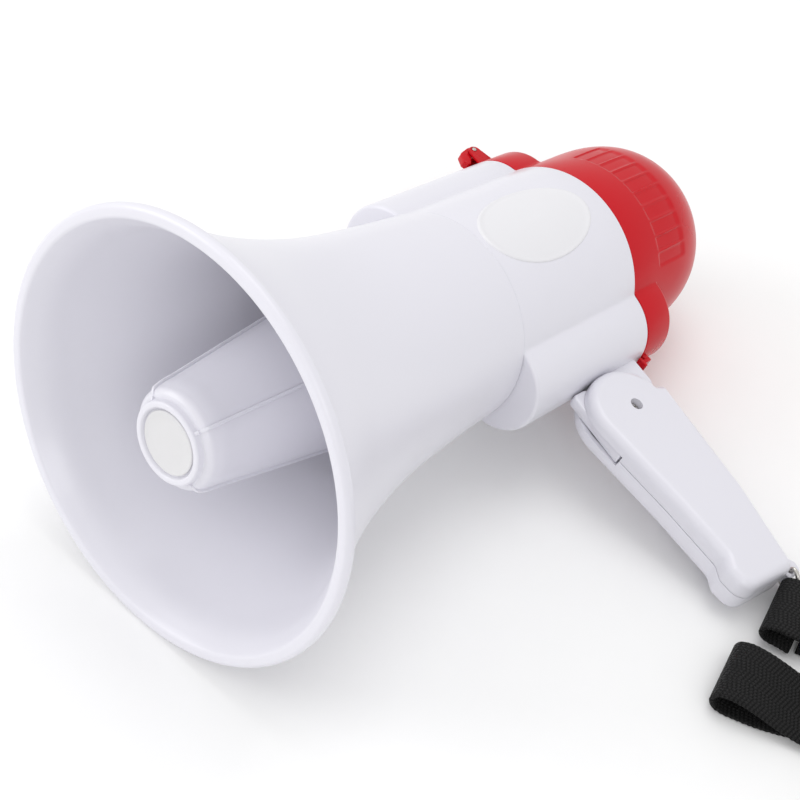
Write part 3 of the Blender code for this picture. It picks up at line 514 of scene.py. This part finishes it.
def addStrap():
    heading = radians(strap["heading"])
    along = Vector((cos(heading), sin(heading), 0))
    side = Vector((-sin(heading), cos(heading), 0))
    up = Vector((0, 0, 1))
    start = Vector((mouth.x / mm + strap["start"][0], mouth.y / mm + strap["start"][1], 0))
    line = smoothLine(ringFold + innerTurn + farFold + outerTurn, strap["steps"])
    places = [start + along * p[0] + side * p[1] + up * p[2] for p in line]
    half, thick = strap["width"] / 2, strap["thick"] / 2
    across = [k / 20 for k in range(-20, 21)]
    builder = bmesh.new()
    spot = builder.verts.layers.float_vector.new("webPlace")
    rows, frames, gone = [], [], 0.0
    for i, place in enumerate(places):
        if i:
            gone += (place - places[i - 1]).length
        way = (places[min(i + 1, len(places) - 1)] - places[max(i - 1, 0)]).normalized()
        tilt = radians(line[i][3])
        wide = side * cos(tilt) + up * sin(tilt)
        flat = way.cross(wide).normalized()
        frames.append((gone, place, way, wide, flat))
        scallop = strap["notch"] * (abs(sin(pi * gone / strap["rib"])) - 1.0)
        row = []
        for face, order in ((1, across), (-1, list(reversed(across)))):
            for k in order:
                past = max(0.0, (abs(k) - 1 + strap["selvedge"]) / strap["selvedge"])
                edge = sqrt(max(0.0, 1 - past ** 2))  # the selvedge rounds off
                lift = face * thick * (0.25 + 0.75 * edge)
                reach = half + (scallop if abs(k) == 1 else 0.0)
                vert = builder.verts.new(place + wide * k * reach + flat * lift)
                vert[spot] = (gone, k * half, face)
                row.append(vert)
        rows.append(row)
    joinRows(builder, rows)
    mesh = meshFrom("wristStrap", builder, 50.0, Matrix.Scale(mm, 4))
    piece = addPiece("wristStrap", mesh, "wrist_ring", "webbing", ["wrist_strap"])
    sewing = addStitches(frames)
    path = [list(place * mm) for place in places[::4] + [places[-1]]]
    print("strap laid, mm:", round(gone, 1))


addCamera()
addStrap()


# radii and stations of the horn, in mm back from its mouth
horn = {"mouth": 80.0, "wall": 2.2, "end": 136.8, "neck": 41.2, "throat": 14.3, "sides": 240}


def addHorn():
    outside = smoothProfile([(5.4, 74.6), (9.5, 72.1), (16.4, 69.1), (41.0, 58.2), (75.3, 48.2), (109.5, 43.6),
                             (horn["end"], horn["neck"])], 12)
    inside = smoothProfile([(2.4, 73.9), (6.0, 71.6), (16.8, 66.9), (41.6, 55.9), (75.6, 46.0), (92.0, 42.4),
                            (101.0, 37.0), (105.5, 28.0), (107.0, horn["throat"])], 12)
    lip = [tuple(p) for p in openLine([(*outside[0], 0), (4.5, 76.4, 1.4), (4.3, horn["mouth"], 1.7),
                                       (0.0, horn["mouth"], 1.9), (0.0, 75.6, 1.9), (*inside[0], 0)])]
    back = [(109.2, horn["throat"]), (107.6, 30.0), (103.6, 39.0), (112.0, 41.0),
            (horn["end"], horn["neck"] - horn["wall"])]
    profile = list(reversed(outside)) + lip[1:-1] + inside + back
    addPiece("hornBell", spun("hornBell", profile, horn["sides"]), "body", "white_plastic", ["horn_bell"])


guide = {"ring": 14.8, "ribs": 4, "firstRib": 27.0, "ribHalf": 0.62, "ribProud": 1.15, "ribRoot": -1.2, "badge": 11.4}


def crossways(angle):
    # outward and sideways directions at an angle round the horn's axis
    return Vector((sin(angle), 0, cos(angle))), Vector((cos(angle), 0, -sin(angle)))


def addGuide():
    side = smoothProfile([(2.6, 15.2), (2.9, 16.3), (4.0, 17.6), (6.5, 18.4), (14.0, 19.3), (40.0, 22.5),
                          (88.0, 28.2)], 8)
    ring = [tuple(p) for p in openLine([(1.5, 0.3, 0), (1.5, guide["badge"] + 0.6, 0.3),
                                        (0.0, guide["badge"] + 1.2, 0.8), (0.0, guide["ring"], 0.9),
                                        (2.3, guide["ring"] + 0.2, 0.4), (*side[0], 0)])]
    inner = [(88.0, 26.8), (87.0, 26.6), (40.0, 20.9), (15.0, 17.8), (10.0, 16.0), (7.5, 12.0), (7.0, 0.3)]
    addPiece("toneGuide", spun("toneGuide", ring[:-1] + side + inner, 160, closed=False), "body", "white_plastic",
             ["tone_guide"])
    for k in range(guide["ribs"]):
        out, across = crossways(radians(guide["firstRib"] + 360 / guide["ribs"] * k))
        rings = []
        for y, radius in [(1.2, guide["ring"] - 0.3), (2.0, guide["ring"] + 0.6)] + side:
            proud = guide["ribProud"] * (0.4 + 0.6 * min(1.0, y / 4.0))
            half, base = guide["ribHalf"], Vector((0, y, 0))
            section = [(-half, guide["ribRoot"]), (-half, proud - 0.35), (-half * 0.6, proud - 0.08), (0, proud),
                       (half * 0.6, proud - 0.08), (half, proud - 0.35), (half, guide["ribRoot"])]
            rings.append([base + across * a + out * (radius + b) for a, b in section])
        addPiece("guideRib" + str(k + 1), skin("guideRib", rings), "body", "white_plastic")


def addBadge():
    radius = guide["badge"]
    disc = [(1.45, radius), (0.85, radius), (0.62, radius - 0.25), (0.6, radius - 0.6), (0.72, radius - 0.9),
            (0.66, radius * 0.6), (0.6, 0.3)]
    addPiece("frontBadge", spun("frontBadge", disc, 96, closed=False), "body", "label_white", ["front_badge"],
             badgeFilm)


throatLeg = {"count": 4, "inner": 10, "half": 0.8, "ends": ((60.0, 24.0), (76.0, 25.9))}


def addThroat():
    tube = spun("throatTube", [(109.3, 11.0), (70.0, 9.6), (26.0, 8.0), (25.6, 8.3), (25.6, 9.3), (26.0, 9.6),
                               (70.0, 11.2), (106.5, 14.0), (109.3, 14.0)], 96)
    addPiece("throatTube", tube, "body", "white_plastic", ["throat_tube"])
    inner, half = throatLeg["inner"], throatLeg["half"]
    for k in range(throatLeg["count"]):
        out, across = crossways(radians(360 / throatLeg["count"] * k))
        rings = [[Vector((0, y, 0)) + out * a + across * b
                  for a, b in ((inner, -half), (reach, -half), (reach, half), (inner, half))]
                 for y, reach in throatLeg["ends"]]
        addPiece("throatLeg" + str(k + 1), skin("throatLeg", rings), "body", "white_plastic")


addHorn()
addThroat()
addGuide()
addBadge()
print("horn, guide and badge made")


# the housing is a cylinder with a lobe above and one below
housing = {"front": 137.1, "seam": 209.3, "main": 40.8, "lobe": 20.0, "lobeOut": 33.3, "wall": 2.2,
           "fillet": 1.1, "sides": 480, "lobeEdge": 1.5, "bore": 27.0, "frontWall": 2.4, "seamEdge": 0.5}


def lobedRadius(angle, main, lobe):
    fold = min(angle % pi, pi - angle % pi)
    under = lobe ** 2 - (housing["lobeOut"] * sin(fold)) ** 2
    if under <= 0:
        return main
    reach = housing["lobeOut"] * cos(fold) + sqrt(under)
    blend = max(0.0, 1 - abs(main - reach) / housing["fillet"])  # a small fillet where lobe meets cylinder
    return max(main, reach) + blend * blend * housing["fillet"] / 4


def lobedRing(y, main, lobe):
    angles = [2 * pi * i / housing["sides"] for i in range(housing["sides"])]
    return [(lobedRadius(a, main, lobe) * sin(a), y, lobedRadius(a, main, lobe) * cos(a)) for a in angles]


def edgeSteps(size, count=5):
    # (along, inset) round a quarter circle of the given size
    angles = [pi / 2 * k / count for k in range(count + 1)]
    return [(size * (1 - cos(a)), size * (1 - sin(a))) for a in angles]


fin = {"half": 2.3, "bore": 4.3}


def addHousing():
    main, lobe, wall = housing["main"], housing["lobe"], housing["wall"]
    front, seam, edge = housing["front"], housing["seam"], housing["lobeEdge"]
    within = front + housing["frontWall"]
    rings = [circle(front, housing["bore"], housing["sides"]), circle(front, main - 2.0, housing["sides"])]
    rings += [lobedRing(front + a, main - inset * 0.4, lobe - inset) for a, inset in edgeSteps(edge)]
    rings += [lobedRing(front + (seam - front) * k / 4, main, lobe) for k in range(1, 4)]
    rings += [lobedRing(seam - a, main - inset, lobe - inset)
              for a, inset in reversed(edgeSteps(housing["seamEdge"], 3))]
    rings += [lobedRing(seam, main - wall, lobe - wall), lobedRing(within, main - wall, lobe - wall),
              circle(within, housing["bore"], housing["sides"])]
    addPiece("rearHousing", skin("rearHousing", rings, closed=True), "body", "white_plastic", ["rear_housing"])
    root = 1.2 - housing["lobeOut"] - lobe
    outline = [(174.5, root, 0.3), (203.6, root, 0.3), (202.6, -64.4, 1.0), (189.0, -80.0, 8.0),
               (170.2, -80.4, 8.6), (169.6, -62.4, 7.4), (174.5, -60.4, 1.5)]
    half = fin["half"]
    made = plate("handleFin", outline, [(-half, 0.4), (0.3 - half, 0.0), (half - 0.3, 0.0), (half, 0.4)])
    bore = crossPin("finBore", -9, 9, fin["bore"], pivot["y"], pivot["z"])
    addPiece("handleFin", shapeWith(made, [bore]), "body", "white_plastic")


label = {"middle": 169.4, "halfLong": 30.0, "halfTall": 17.2, "raised": 1.2, "edge": 0.35, "sides": 120}


def addLabel():
    rings = []
    # reach out from the middle and lift above the film, up over the printed rim and down to the edge
    steps = [(0.02, 0.0), (0.3, 0.0), (0.6, 0.0), (0.86, 0.0), (0.925, 0.02), (0.94, 0.14), (0.955, 0.16),
             (0.97, 0.14), (0.985, 0.03), (0.995, -0.12), (1.0, -label["edge"])]
    for reach, lift in steps:
        ring = []
        for i in range(label["sides"]):
            a = 2 * pi * i / label["sides"]
            around = pi / 2 - (label["raised"] + label["halfTall"] * reach * sin(a)) / housing["main"]
            radius = housing["main"] + label["edge"] + lift
            ring.append((radius * sin(around), label["middle"] + label["halfLong"] * reach * cos(a),
                         radius * cos(around)))
        rings.append(ring)
    addPiece("bodyLabel", skin("bodyLabel", rings), "body", "label_white", ["body_label"])


addHousing()
addLabel()
print("housing and label made")


# the cap goes on from the housing's section to a fluted dome
cap = {"main": 40.3, "wall": 2.0, "seam": 209.6, "skirt": 226.0, "dome": 234.6, "end": 278.0, "power": 2.7,
       "hole": 21.3, "skirtSteps": 22, "domeSteps": 48, "skirtEdge": 1.6, "fluteFirst": 55.1, "fluteStep": 9.2,
       "flutes": 10, "fluteHalf": 4.2, "fluteDepth": 0.5, "fluteFrom": 227.0, "fluteTo": 246.5}


def fluteDepth(angle, y):
    # how deep the flutes of both flanks are at an angle round the cap and a station along it
    turned = degrees(angle) % 180
    depth = 0.0
    for k in range(cap["flutes"]):
        middle = cap["fluteFirst"] + cap["fluteStep"] * k
        depth = max(depth, pulse(turned, middle - cap["fluteHalf"], middle + cap["fluteHalf"], 0.9))
    return cap["fluteDepth"] * depth * pulse(y, cap["fluteFrom"], cap["fluteTo"], 1.6)


def domeRing(y, radius, fluted=True):
    ring = []
    for i in range(housing["sides"]):
        a = 2 * pi * i / housing["sides"]
        r = radius - (fluteDepth(a, y) if fluted else 0.0)
        ring.append((r * sin(a), y, r * cos(a)))
    return ring


def addCap():
    main, wall, power, lobe = cap["main"], cap["wall"], cap["power"], housing["lobe"]
    straight, tall = cap["dome"] - cap["skirt"], cap["end"] - cap["dome"]
    rings = [lobedRing(cap["seam"] + a, main - inset, lobe - inset)
             for a, inset in edgeSteps(housing["seamEdge"], 3)]
    rings += [lobedRing(cap["skirt"] - a, main, lobe - inset) for a, inset in reversed(edgeSteps(cap["skirtEdge"]))]
    rings += [domeRing(cap["skirt"] + 0.03, main)]
    rings += [domeRing(cap["skirt"] + straight * k / cap["skirtSteps"], main)
              for k in range(1, cap["skirtSteps"] + 1)]
    last = acos((cap["hole"] / main) ** (power / 2))
    dome = []
    for k in range(1, cap["domeSteps"] + 1):
        along = sin(last * k / cap["domeSteps"]) ** (2 / power)
        dome.append((cap["dome"] + tall * along, main * (1 - along ** power) ** (1 / power)))
    rings += [domeRing(y, r) for y, r in dome]
    rings += [domeRing(dome[-1][0] - 0.5, cap["hole"] - 0.35, False)]
    rings += [domeRing(y - 2.4, max(cap["hole"] - 0.3, r - 1.8), False) for y, r in reversed(dome[::6])]
    rings += [domeRing(cap["dome"], main - wall, False), domeRing(cap["skirt"] - 1.4, main - wall, False),
              lobedRing(cap["skirt"] - wall, main - wall, lobe - wall),
              lobedRing(cap["seam"], main - wall, lobe - wall)]
    addPiece("rearCap", skin("rearCap", rings, closed=True), "rear_cap", "red_plastic", ["rear_cap"])
    top = housing["lobeOut"] + lobe
    earOutline = [(216.6, top - 1.6, 0.3), (223.4, top - 1.6, 0.3), (223.6, top + 9.9, 2.9),
                  (217.6, top + 9.9, 2.9)]
    for k, way in enumerate((-1, 1)):
        layers = [(way * x, inset) for x, inset in ((2.15, 0.25), (2.4, 0.0), (3.1, 0.0), (3.35, 0.3))]
        earBore = crossPin("earBore", -9, 9, latch["bore"], latch["pinY"], latch["pinZ"])
        ear = shapeWith(plate("latchEar", earOutline, layers), [earBore])
        addPiece("latchEar" + str(k + 1), ear, "rear_cap", "red_plastic")
    # the foot's tab hangs under the housing, on a stem and a neck from the lower lobe
    foot = {"capFootTab": ((-2.5, 206.3, -top - 4.7), (2.5, 207.5, -top - 0.45)),
            "capFootStem": ((-1.7, 207.0, -top - 3.2), (1.7, 212.4, -top - 1.5)),
            "capFootNeck": ((-1.7, 209.9, -top - 2.0), (1.7, 212.4, -top + 1.2))}
    for name, (low, high) in foot.items():
        addPiece(name, softenEdges(box(name, low, high), 0.35), "rear_cap", "red_plastic")


latch = {"pinY": 220.6, "pinZ": 61.4, "half": 1.9, "pin": 0.95, "pinHalf": 3.6, "bore": 1.2}


def addLatch():
    outline = [(212.4, 58.8, 0.6), (214.4, 63.0, 1.8), (220.4, 64.2, 2.6), (225.4, 61.6, 2.0), (227.4, 54.4, 0.6),
               (225.8, 54.2, 0.5), (223.4, 58.8, 1.2), (217.4, 59.1, 1.2), (214.6, 56.4, 0.4), (213.0, 56.6, 0.4)]
    half = latch["half"]
    layers = [(-half, 0.4), (-half + 0.12, 0.12), (-half + 0.4, 0.0), (half - 0.4, 0.0), (half - 0.12, 0.12),
              (half, 0.4)]
    clipBore = crossPin("clipBore", -9, 9, latch["bore"], latch["pinY"], latch["pinZ"])
    clip = shapeWith(plate("capLatch", outline, layers), [clipBore])
    addPiece("capLatch", clip, "cap_latch", "red_plastic", ["cap_latch"])
    pin = crossPin("latchPin", -latch["pinHalf"], latch["pinHalf"], latch["pin"], latch["pinY"], latch["pinZ"])
    addPiece("latchPin", softenEdges(pin, 0.2), "rear_cap", "steel", ["latch_pin"])


addCap()
addLatch()
print("cap and latch made")


# the handle is two shells that meet at x = 0
handle = {"half": 8.5, "round": 3.7, "roundSteps": 8, "wall": 2.2, "top": -53.5, "topRound": 17.5, "heel": -155.3,
          "groove": 0.2, "slot": 2.6, "frontSlotEnd": -84.4, "rearSlotEnd": -96.0, "slotSplit": 171.0,
          "boss": 6.0, "bossEnd": 7.4, "bore": 1.7, "ringBore": 1.5, "recess": 2.6, "recessFrom": 4.2,
          "screwHole": 2.8}


def handleOutline():
    return [(157.2, handle["top"], 18.5), (191.7, handle["top"], handle["topRound"]), (196.0, -68.6, 0.8),
            (200.4, -69.0, 2.5), (192.6, -119.0, 60.0), (182.8, handle["heel"], 4.5), (154.6, -152.3, 6.5),
            (154.4, -141.6, 3.5), (158.0, -136.6, 4.0), (158.6, -110.0, 60.0)]


def lugOutline():
    return [(176.0, -149.0, 0.5), (183.6, -141.0, 2.0), (187.2, -147.6, 4.0), (190.4, -153.4, 2.0),
            (189.4, -157.2, 1.8), (182.0, -157.2, 1.2), (181.4, -153.0, 0.5)]


def addShell(name, side, node):
    # side is 1 for the right shell and -1 for the left one
    half, size, slot, wall, groove = (handle[key] for key in ("half", "round", "slot", "wall", "groove"))
    layers = [(side * 0.12, groove), (side * 0.3, groove * 0.4), (side * 0.55, 0.0)]
    for k in range(handle["roundSteps"] + 1):
        turned = pi / 2 * k / handle["roundSteps"]
        layers.append((side * (half - size + size * sin(turned)), size * (1 - cos(turned))))
    shell = plate(name, handleOutline(), layers, 4.0)
    low, high = sorted((side * -1.0, side * slot))
    room = plate("room", handleOutline(), [(side * -1.0, wall), (side * 4.3, wall), (side * 6.3, wall + 2.0)])
    front = box("frontSlot", (low, 150.0, handle["frontSlotEnd"]), (high, handle["slotSplit"] + 1.0, -50.0))
    rear = box("rearSlot", (low, handle["slotSplit"], handle["rearSlotEnd"]), (high, 206.0, -50.0))
    shell = shapeWith(shell, [room, front, rear])
    boss = crossPin("boss", *sorted((side * (slot + 0.1), side * handle["bossEnd"])), handle["boss"],
                    pivot["y"], pivot["z"])
    lug = plate("lug", lugOutline(), [(side * 0.15, 0.0), (side * 2.2, 0.0), (side * 2.7, 0.5)])
    shell = shapeWith(shell, [boss, lug], "UNION")
    recess = crossPin("recess", *sorted((side * handle["recessFrom"], side * 12)), handle["recess"],
                      pivot["y"], pivot["z"], 64)
    bore = crossPin("bore", -12, 12, handle["bore"], pivot["y"], pivot["z"])
    ringBore = crossPin("ringBore", -12, 12, handle["ringBore"], ring["y"], ring["z"])
    tools = [recess, bore, ringBore]
    if side < 0:
        tools += [crossPin("screwHole", -12, -5.2, handle["screwHole"], 169.5, -124.0)]
    addPiece(name, shapeWith(shell, tools), "handle", "white_plastic", [node])


def addTrigger():
    outline = [(161.6, -53.9, 2.0), (169.6, -54.2, 1.0), (166.5, -70.0, 20.0), (166.5, -93.0, 2.4),
               (161.6, -93.0, 1.8), (161.6, -84.0, 0.3), (158.3, -83.4, 0.5)]
    layers = [(-2.3, 0.6), (-2.15, 0.22), (-1.8, 0.0), (1.8, 0.0), (2.15, 0.22), (2.3, 0.6)]
    addPiece("talkTrigger", plate("talkTrigger", outline, layers), "talk_trigger", "white_plastic",
             ["talk_trigger"])


ring = {"wire": 0.9, "y": 184.6, "z": -154.6, "sides": 20, "steps": 8}


def addRing():
    y, z = ring["y"], ring["z"]
    route = [(3.0, y, z), (4.3, y, z - 0.7), (4.2, 184.3, -157.4), (2.3, 183.2, -160.0), (0.4, 169.0, -164.4),
             (-0.7, 163.4, -166.3), (-3.0, 162.3, -167.2), (-5.0, 163.0, -167.7), (-5.2, 166.0, -167.1),
             (-3.6, 184.0, -161.4), (-4.3, 184.5, -157.4), (-4.3, y, z - 0.7), (-3.0, y, z)]
    line = smoothLine(route, ring["steps"], closed=True)
    count = len(line)
    normal = Vector((0, 0, 1))
    rings = []
    for i, point in enumerate(line):
        way = (line[(i + 1) % count] - line[i - 1]).normalized()
        normal = (normal - way * normal.dot(way)).normalized()
        side = way.cross(normal)
        angles = [2 * pi * k / ring["sides"] for k in range(ring["sides"])]
        rings.append([point + ring["wire"] * (normal * cos(a) + side * sin(a)) for a in angles])
    addPiece("wristRing", skin("wristRing", rings, closed=True), "wrist_ring", "steel", ["wrist_ring"])


def addPivotScrew():
    y, z = pivot["y"], pivot["z"]
    profile = [(-4.0, 1.35), (4.5, 1.35), (4.5, 2.3), (5.7, 2.3), (6.0, 2.1), (6.15, 1.7), (6.2, 0.2)]
    cross = [box("cross", (5.2, y - long, z - tall), (7.0, y + long, z + tall))
             for long, tall in ((1.5, 0.3), (0.3, 1.5))]
    screw = shapeWith(crossTurned("pivotScrew", profile, y, z), cross)
    addPiece("pivotScrew", screw, "handle", "steel", ["pivot_screw"])


addShell("handleRight", 1, "handle_right")
addShell("handleLeft", -1, "handle_left")
addTrigger()
addRing()
addPivotScrew()
print("handle, trigger and ring made")


# the panel stands in the cap's hole and carries the controls
panel = {"face": 275.4, "back": 263.3, "radius": 20.6, "knobX": -9.0, "knobZ": 6.0, "knobHole": 2.0,
         "micX": 8.5, "micZ": 5.0, "mic": 5.0, "micHole": 5.3, "drillFrom": 270.0, "drillTo": 280.0}


def addPanel():
    face, back, radius, near, far = (panel[key] for key in ("face", "back", "radius", "drillFrom", "drillTo"))
    front = [tuple(p) for p in openLine([(back, radius - 1.0, 0), (back + 1.0, radius, 0.3), (face, radius, 1.2),
                                         (face, radius - 2.4, 0.3), (face - 0.5, radius - 2.8, 0.3),
                                         (face - 0.5, 0.3, 0)])]
    disc = spun("controlPanel", [(back, 0.3)] + front, 96, closed=False)
    hollow = spun("panelBack", [(262.0, 17.4), (272.8, 17.4)], 64, closed=False)
    knobHole = spun("knobHole", [(near, panel["knobHole"]), (far, panel["knobHole"])], 32, panel["knobX"],
                    panel["knobZ"], False)
    micHole = spun("micHole", [(near, panel["micHole"]), (far, panel["micHole"])], 48, panel["micX"],
                   panel["micZ"], False)
    slot = box("sliderSlot", (-7.0, near, -12.6), (7.0, far, -8.8))
    disc = shapeWith(disc, [hollow, knobHole, micHole, slot])
    addPiece("controlPanel", disc, "body", "black_plastic", ["control_panel"])


grille = {"back": 273.0, "face": 274.9, "edge": 0.4, "hole": 0.42, "rings": ((1, 0.0), (6, 1.7), (12, 3.3))}


def addGrille():
    x, z, radius = panel["micX"], panel["micZ"], panel["mic"]
    back, face, edge = grille["back"], grille["face"], grille["edge"]
    disc = spun("micGrille", [(back, radius), (face - edge, radius), (face, radius - edge), (face, 0.2)], 64, x, z,
                False)
    holes = []
    for count, reach in grille["rings"]:
        for k in range(count):
            a = 2 * pi * k / count
            drill = [(back - 1.0, grille["hole"]), (face + 1.1, grille["hole"])]
            holes.append(spun("hole", drill, 16, x + reach * sin(a), z + reach * cos(a), False))
    addPiece("micGrille", shapeWith(disc, holes), "body", "black_plastic", ["microphone_grille"])


knob = {"stem": 1.6, "radius": 5.2, "grips": 18, "grip": 0.28, "sides": 180}


def addKnob():
    x, z, face = panel["knobX"], panel["knobZ"], panel["face"]
    # station, radius, and how far the grips cut in there
    profile = [(272.8, knob["stem"], 0), (face + 0.3, knob["stem"], 0), (face + 0.3, knob["radius"], 1),
               (face + 1.7, 5.05, 1), (face + 2.2, 4.75, 0.6), (face + 2.45, 4.3, 0), (face + 2.3, 3.4, 0),
               (face + 2.3, 0.2, 0)]
    rings = []
    for y, radius, gripped in profile:
        row = []
        for i in range(knob["sides"]):
            a = 2 * pi * i / knob["sides"]
            out = radius - knob["grip"] * gripped * (0.5 + 0.5 * cos(knob["grips"] * a))
            row.append((x + out * sin(a), y, z + out * cos(a)))
        rings.append(row)
    mark = box("knobMark", (x - 0.35, face + 2.0, z + 1.0), (x + 0.35, face + 4.0, z + 4.0))
    addPiece("volumeKnob", shapeWith(skin("volumeKnob", rings), [mark]), "volume_knob", "black_plastic",
             ["volume_knob"])


slider = {"grooves": 5, "first": -3.0, "step": 0.8, "wide": 0.3}


def addSlider():
    face = panel["face"]
    body = box("sirenSlider", (-3.4, 272.8, -12.2), (0.6, face + 1.6, -9.2))
    starts = [slider["first"] + slider["step"] * k for k in range(slider["grooves"])]
    grooves = [box("groove", (start, face + 1.1, -13.0), (start + slider["wide"], face + 3.0, -8.0))
               for start in starts]
    addPiece("sirenSlider", shapeWith(softenEdges(body, 0.25), grooves), "siren_slider", "red_plastic",
             ["siren_slider"])


addPanel()
addGrille()
addKnob()
addSlider()
print("rear controls made")


# finish of the parts that keep the CAD's own shape
shown = 0
for name, part in frame["nodes"].items():
    look = looks.get(slotOf.get(name))
    if look and part.type == "MESH":
        if not part.material_slots:
            part.data.materials.append(look)
        for holder in part.material_slots:
            holder.material = look
        shown += 1
print("parts given their finish:", shown)


studio = {"floor": 20.0, "world": 0.82, "aim": (0, 0, 0.05)}


def addFloor():
    graph = materialGraph("paleFloor", roughness=0.9)
    specks = graph.noise(60.0, 4.0)
    look = graph.drive(baseColor=graph.blendColours(specks, (0.90, 0.90, 0.90), (0.915, 0.915, 0.915)))
    builder = bmesh.new()
    bmesh.ops.create_grid(builder, x_segments=1, y_segments=1, size=studio["floor"])
    sheet = bpy.data.meshes.new("studioFloor")
    builder.to_mesh(sheet)
    builder.free()
    sheet.materials.append(look)
    linked("studioFloor", sheet)


def addLight(name, place, aim, size, power):
    lamp = bpy.data.lights.new(name, "AREA")
    lamp.shape, lamp.size, lamp.energy = "DISK", size, power
    holder = linked(name, lamp)
    holder.matrix_world = (Matrix.Translation(place)
                           @ (Vector(aim) - Vector(place)).to_track_quat("-Z", "Y").to_matrix().to_4x4())


def addStudio():
    world = bpy.data.worlds.new("studioWorld")
    world.use_nodes = True
    background = world.node_tree.nodes["Background"]
    background.inputs["Color"].default_value = (1.0, 1.0, 1.0, 1.0)
    background.inputs["Strength"].default_value = studio["world"]
    bpy.context.scene.world = world
    addLight("overheadSoftBox", (-0.1, 0.25, 1.3), studio["aim"], 0.9, 4.0)
    addLight("frontSoftBox", (0.9, -0.9, 0.9), studio["aim"], 0.7, 3.0)
    addLight("mouthSoftBox", (-0.9, -0.8, 0.6), (-0.04, -0.1, 0.08), 0.8, 4.6)
    bpy.context.scene.view_settings.view_transform = "Standard"


addFloor()
addStudio()
print("floor and light made")
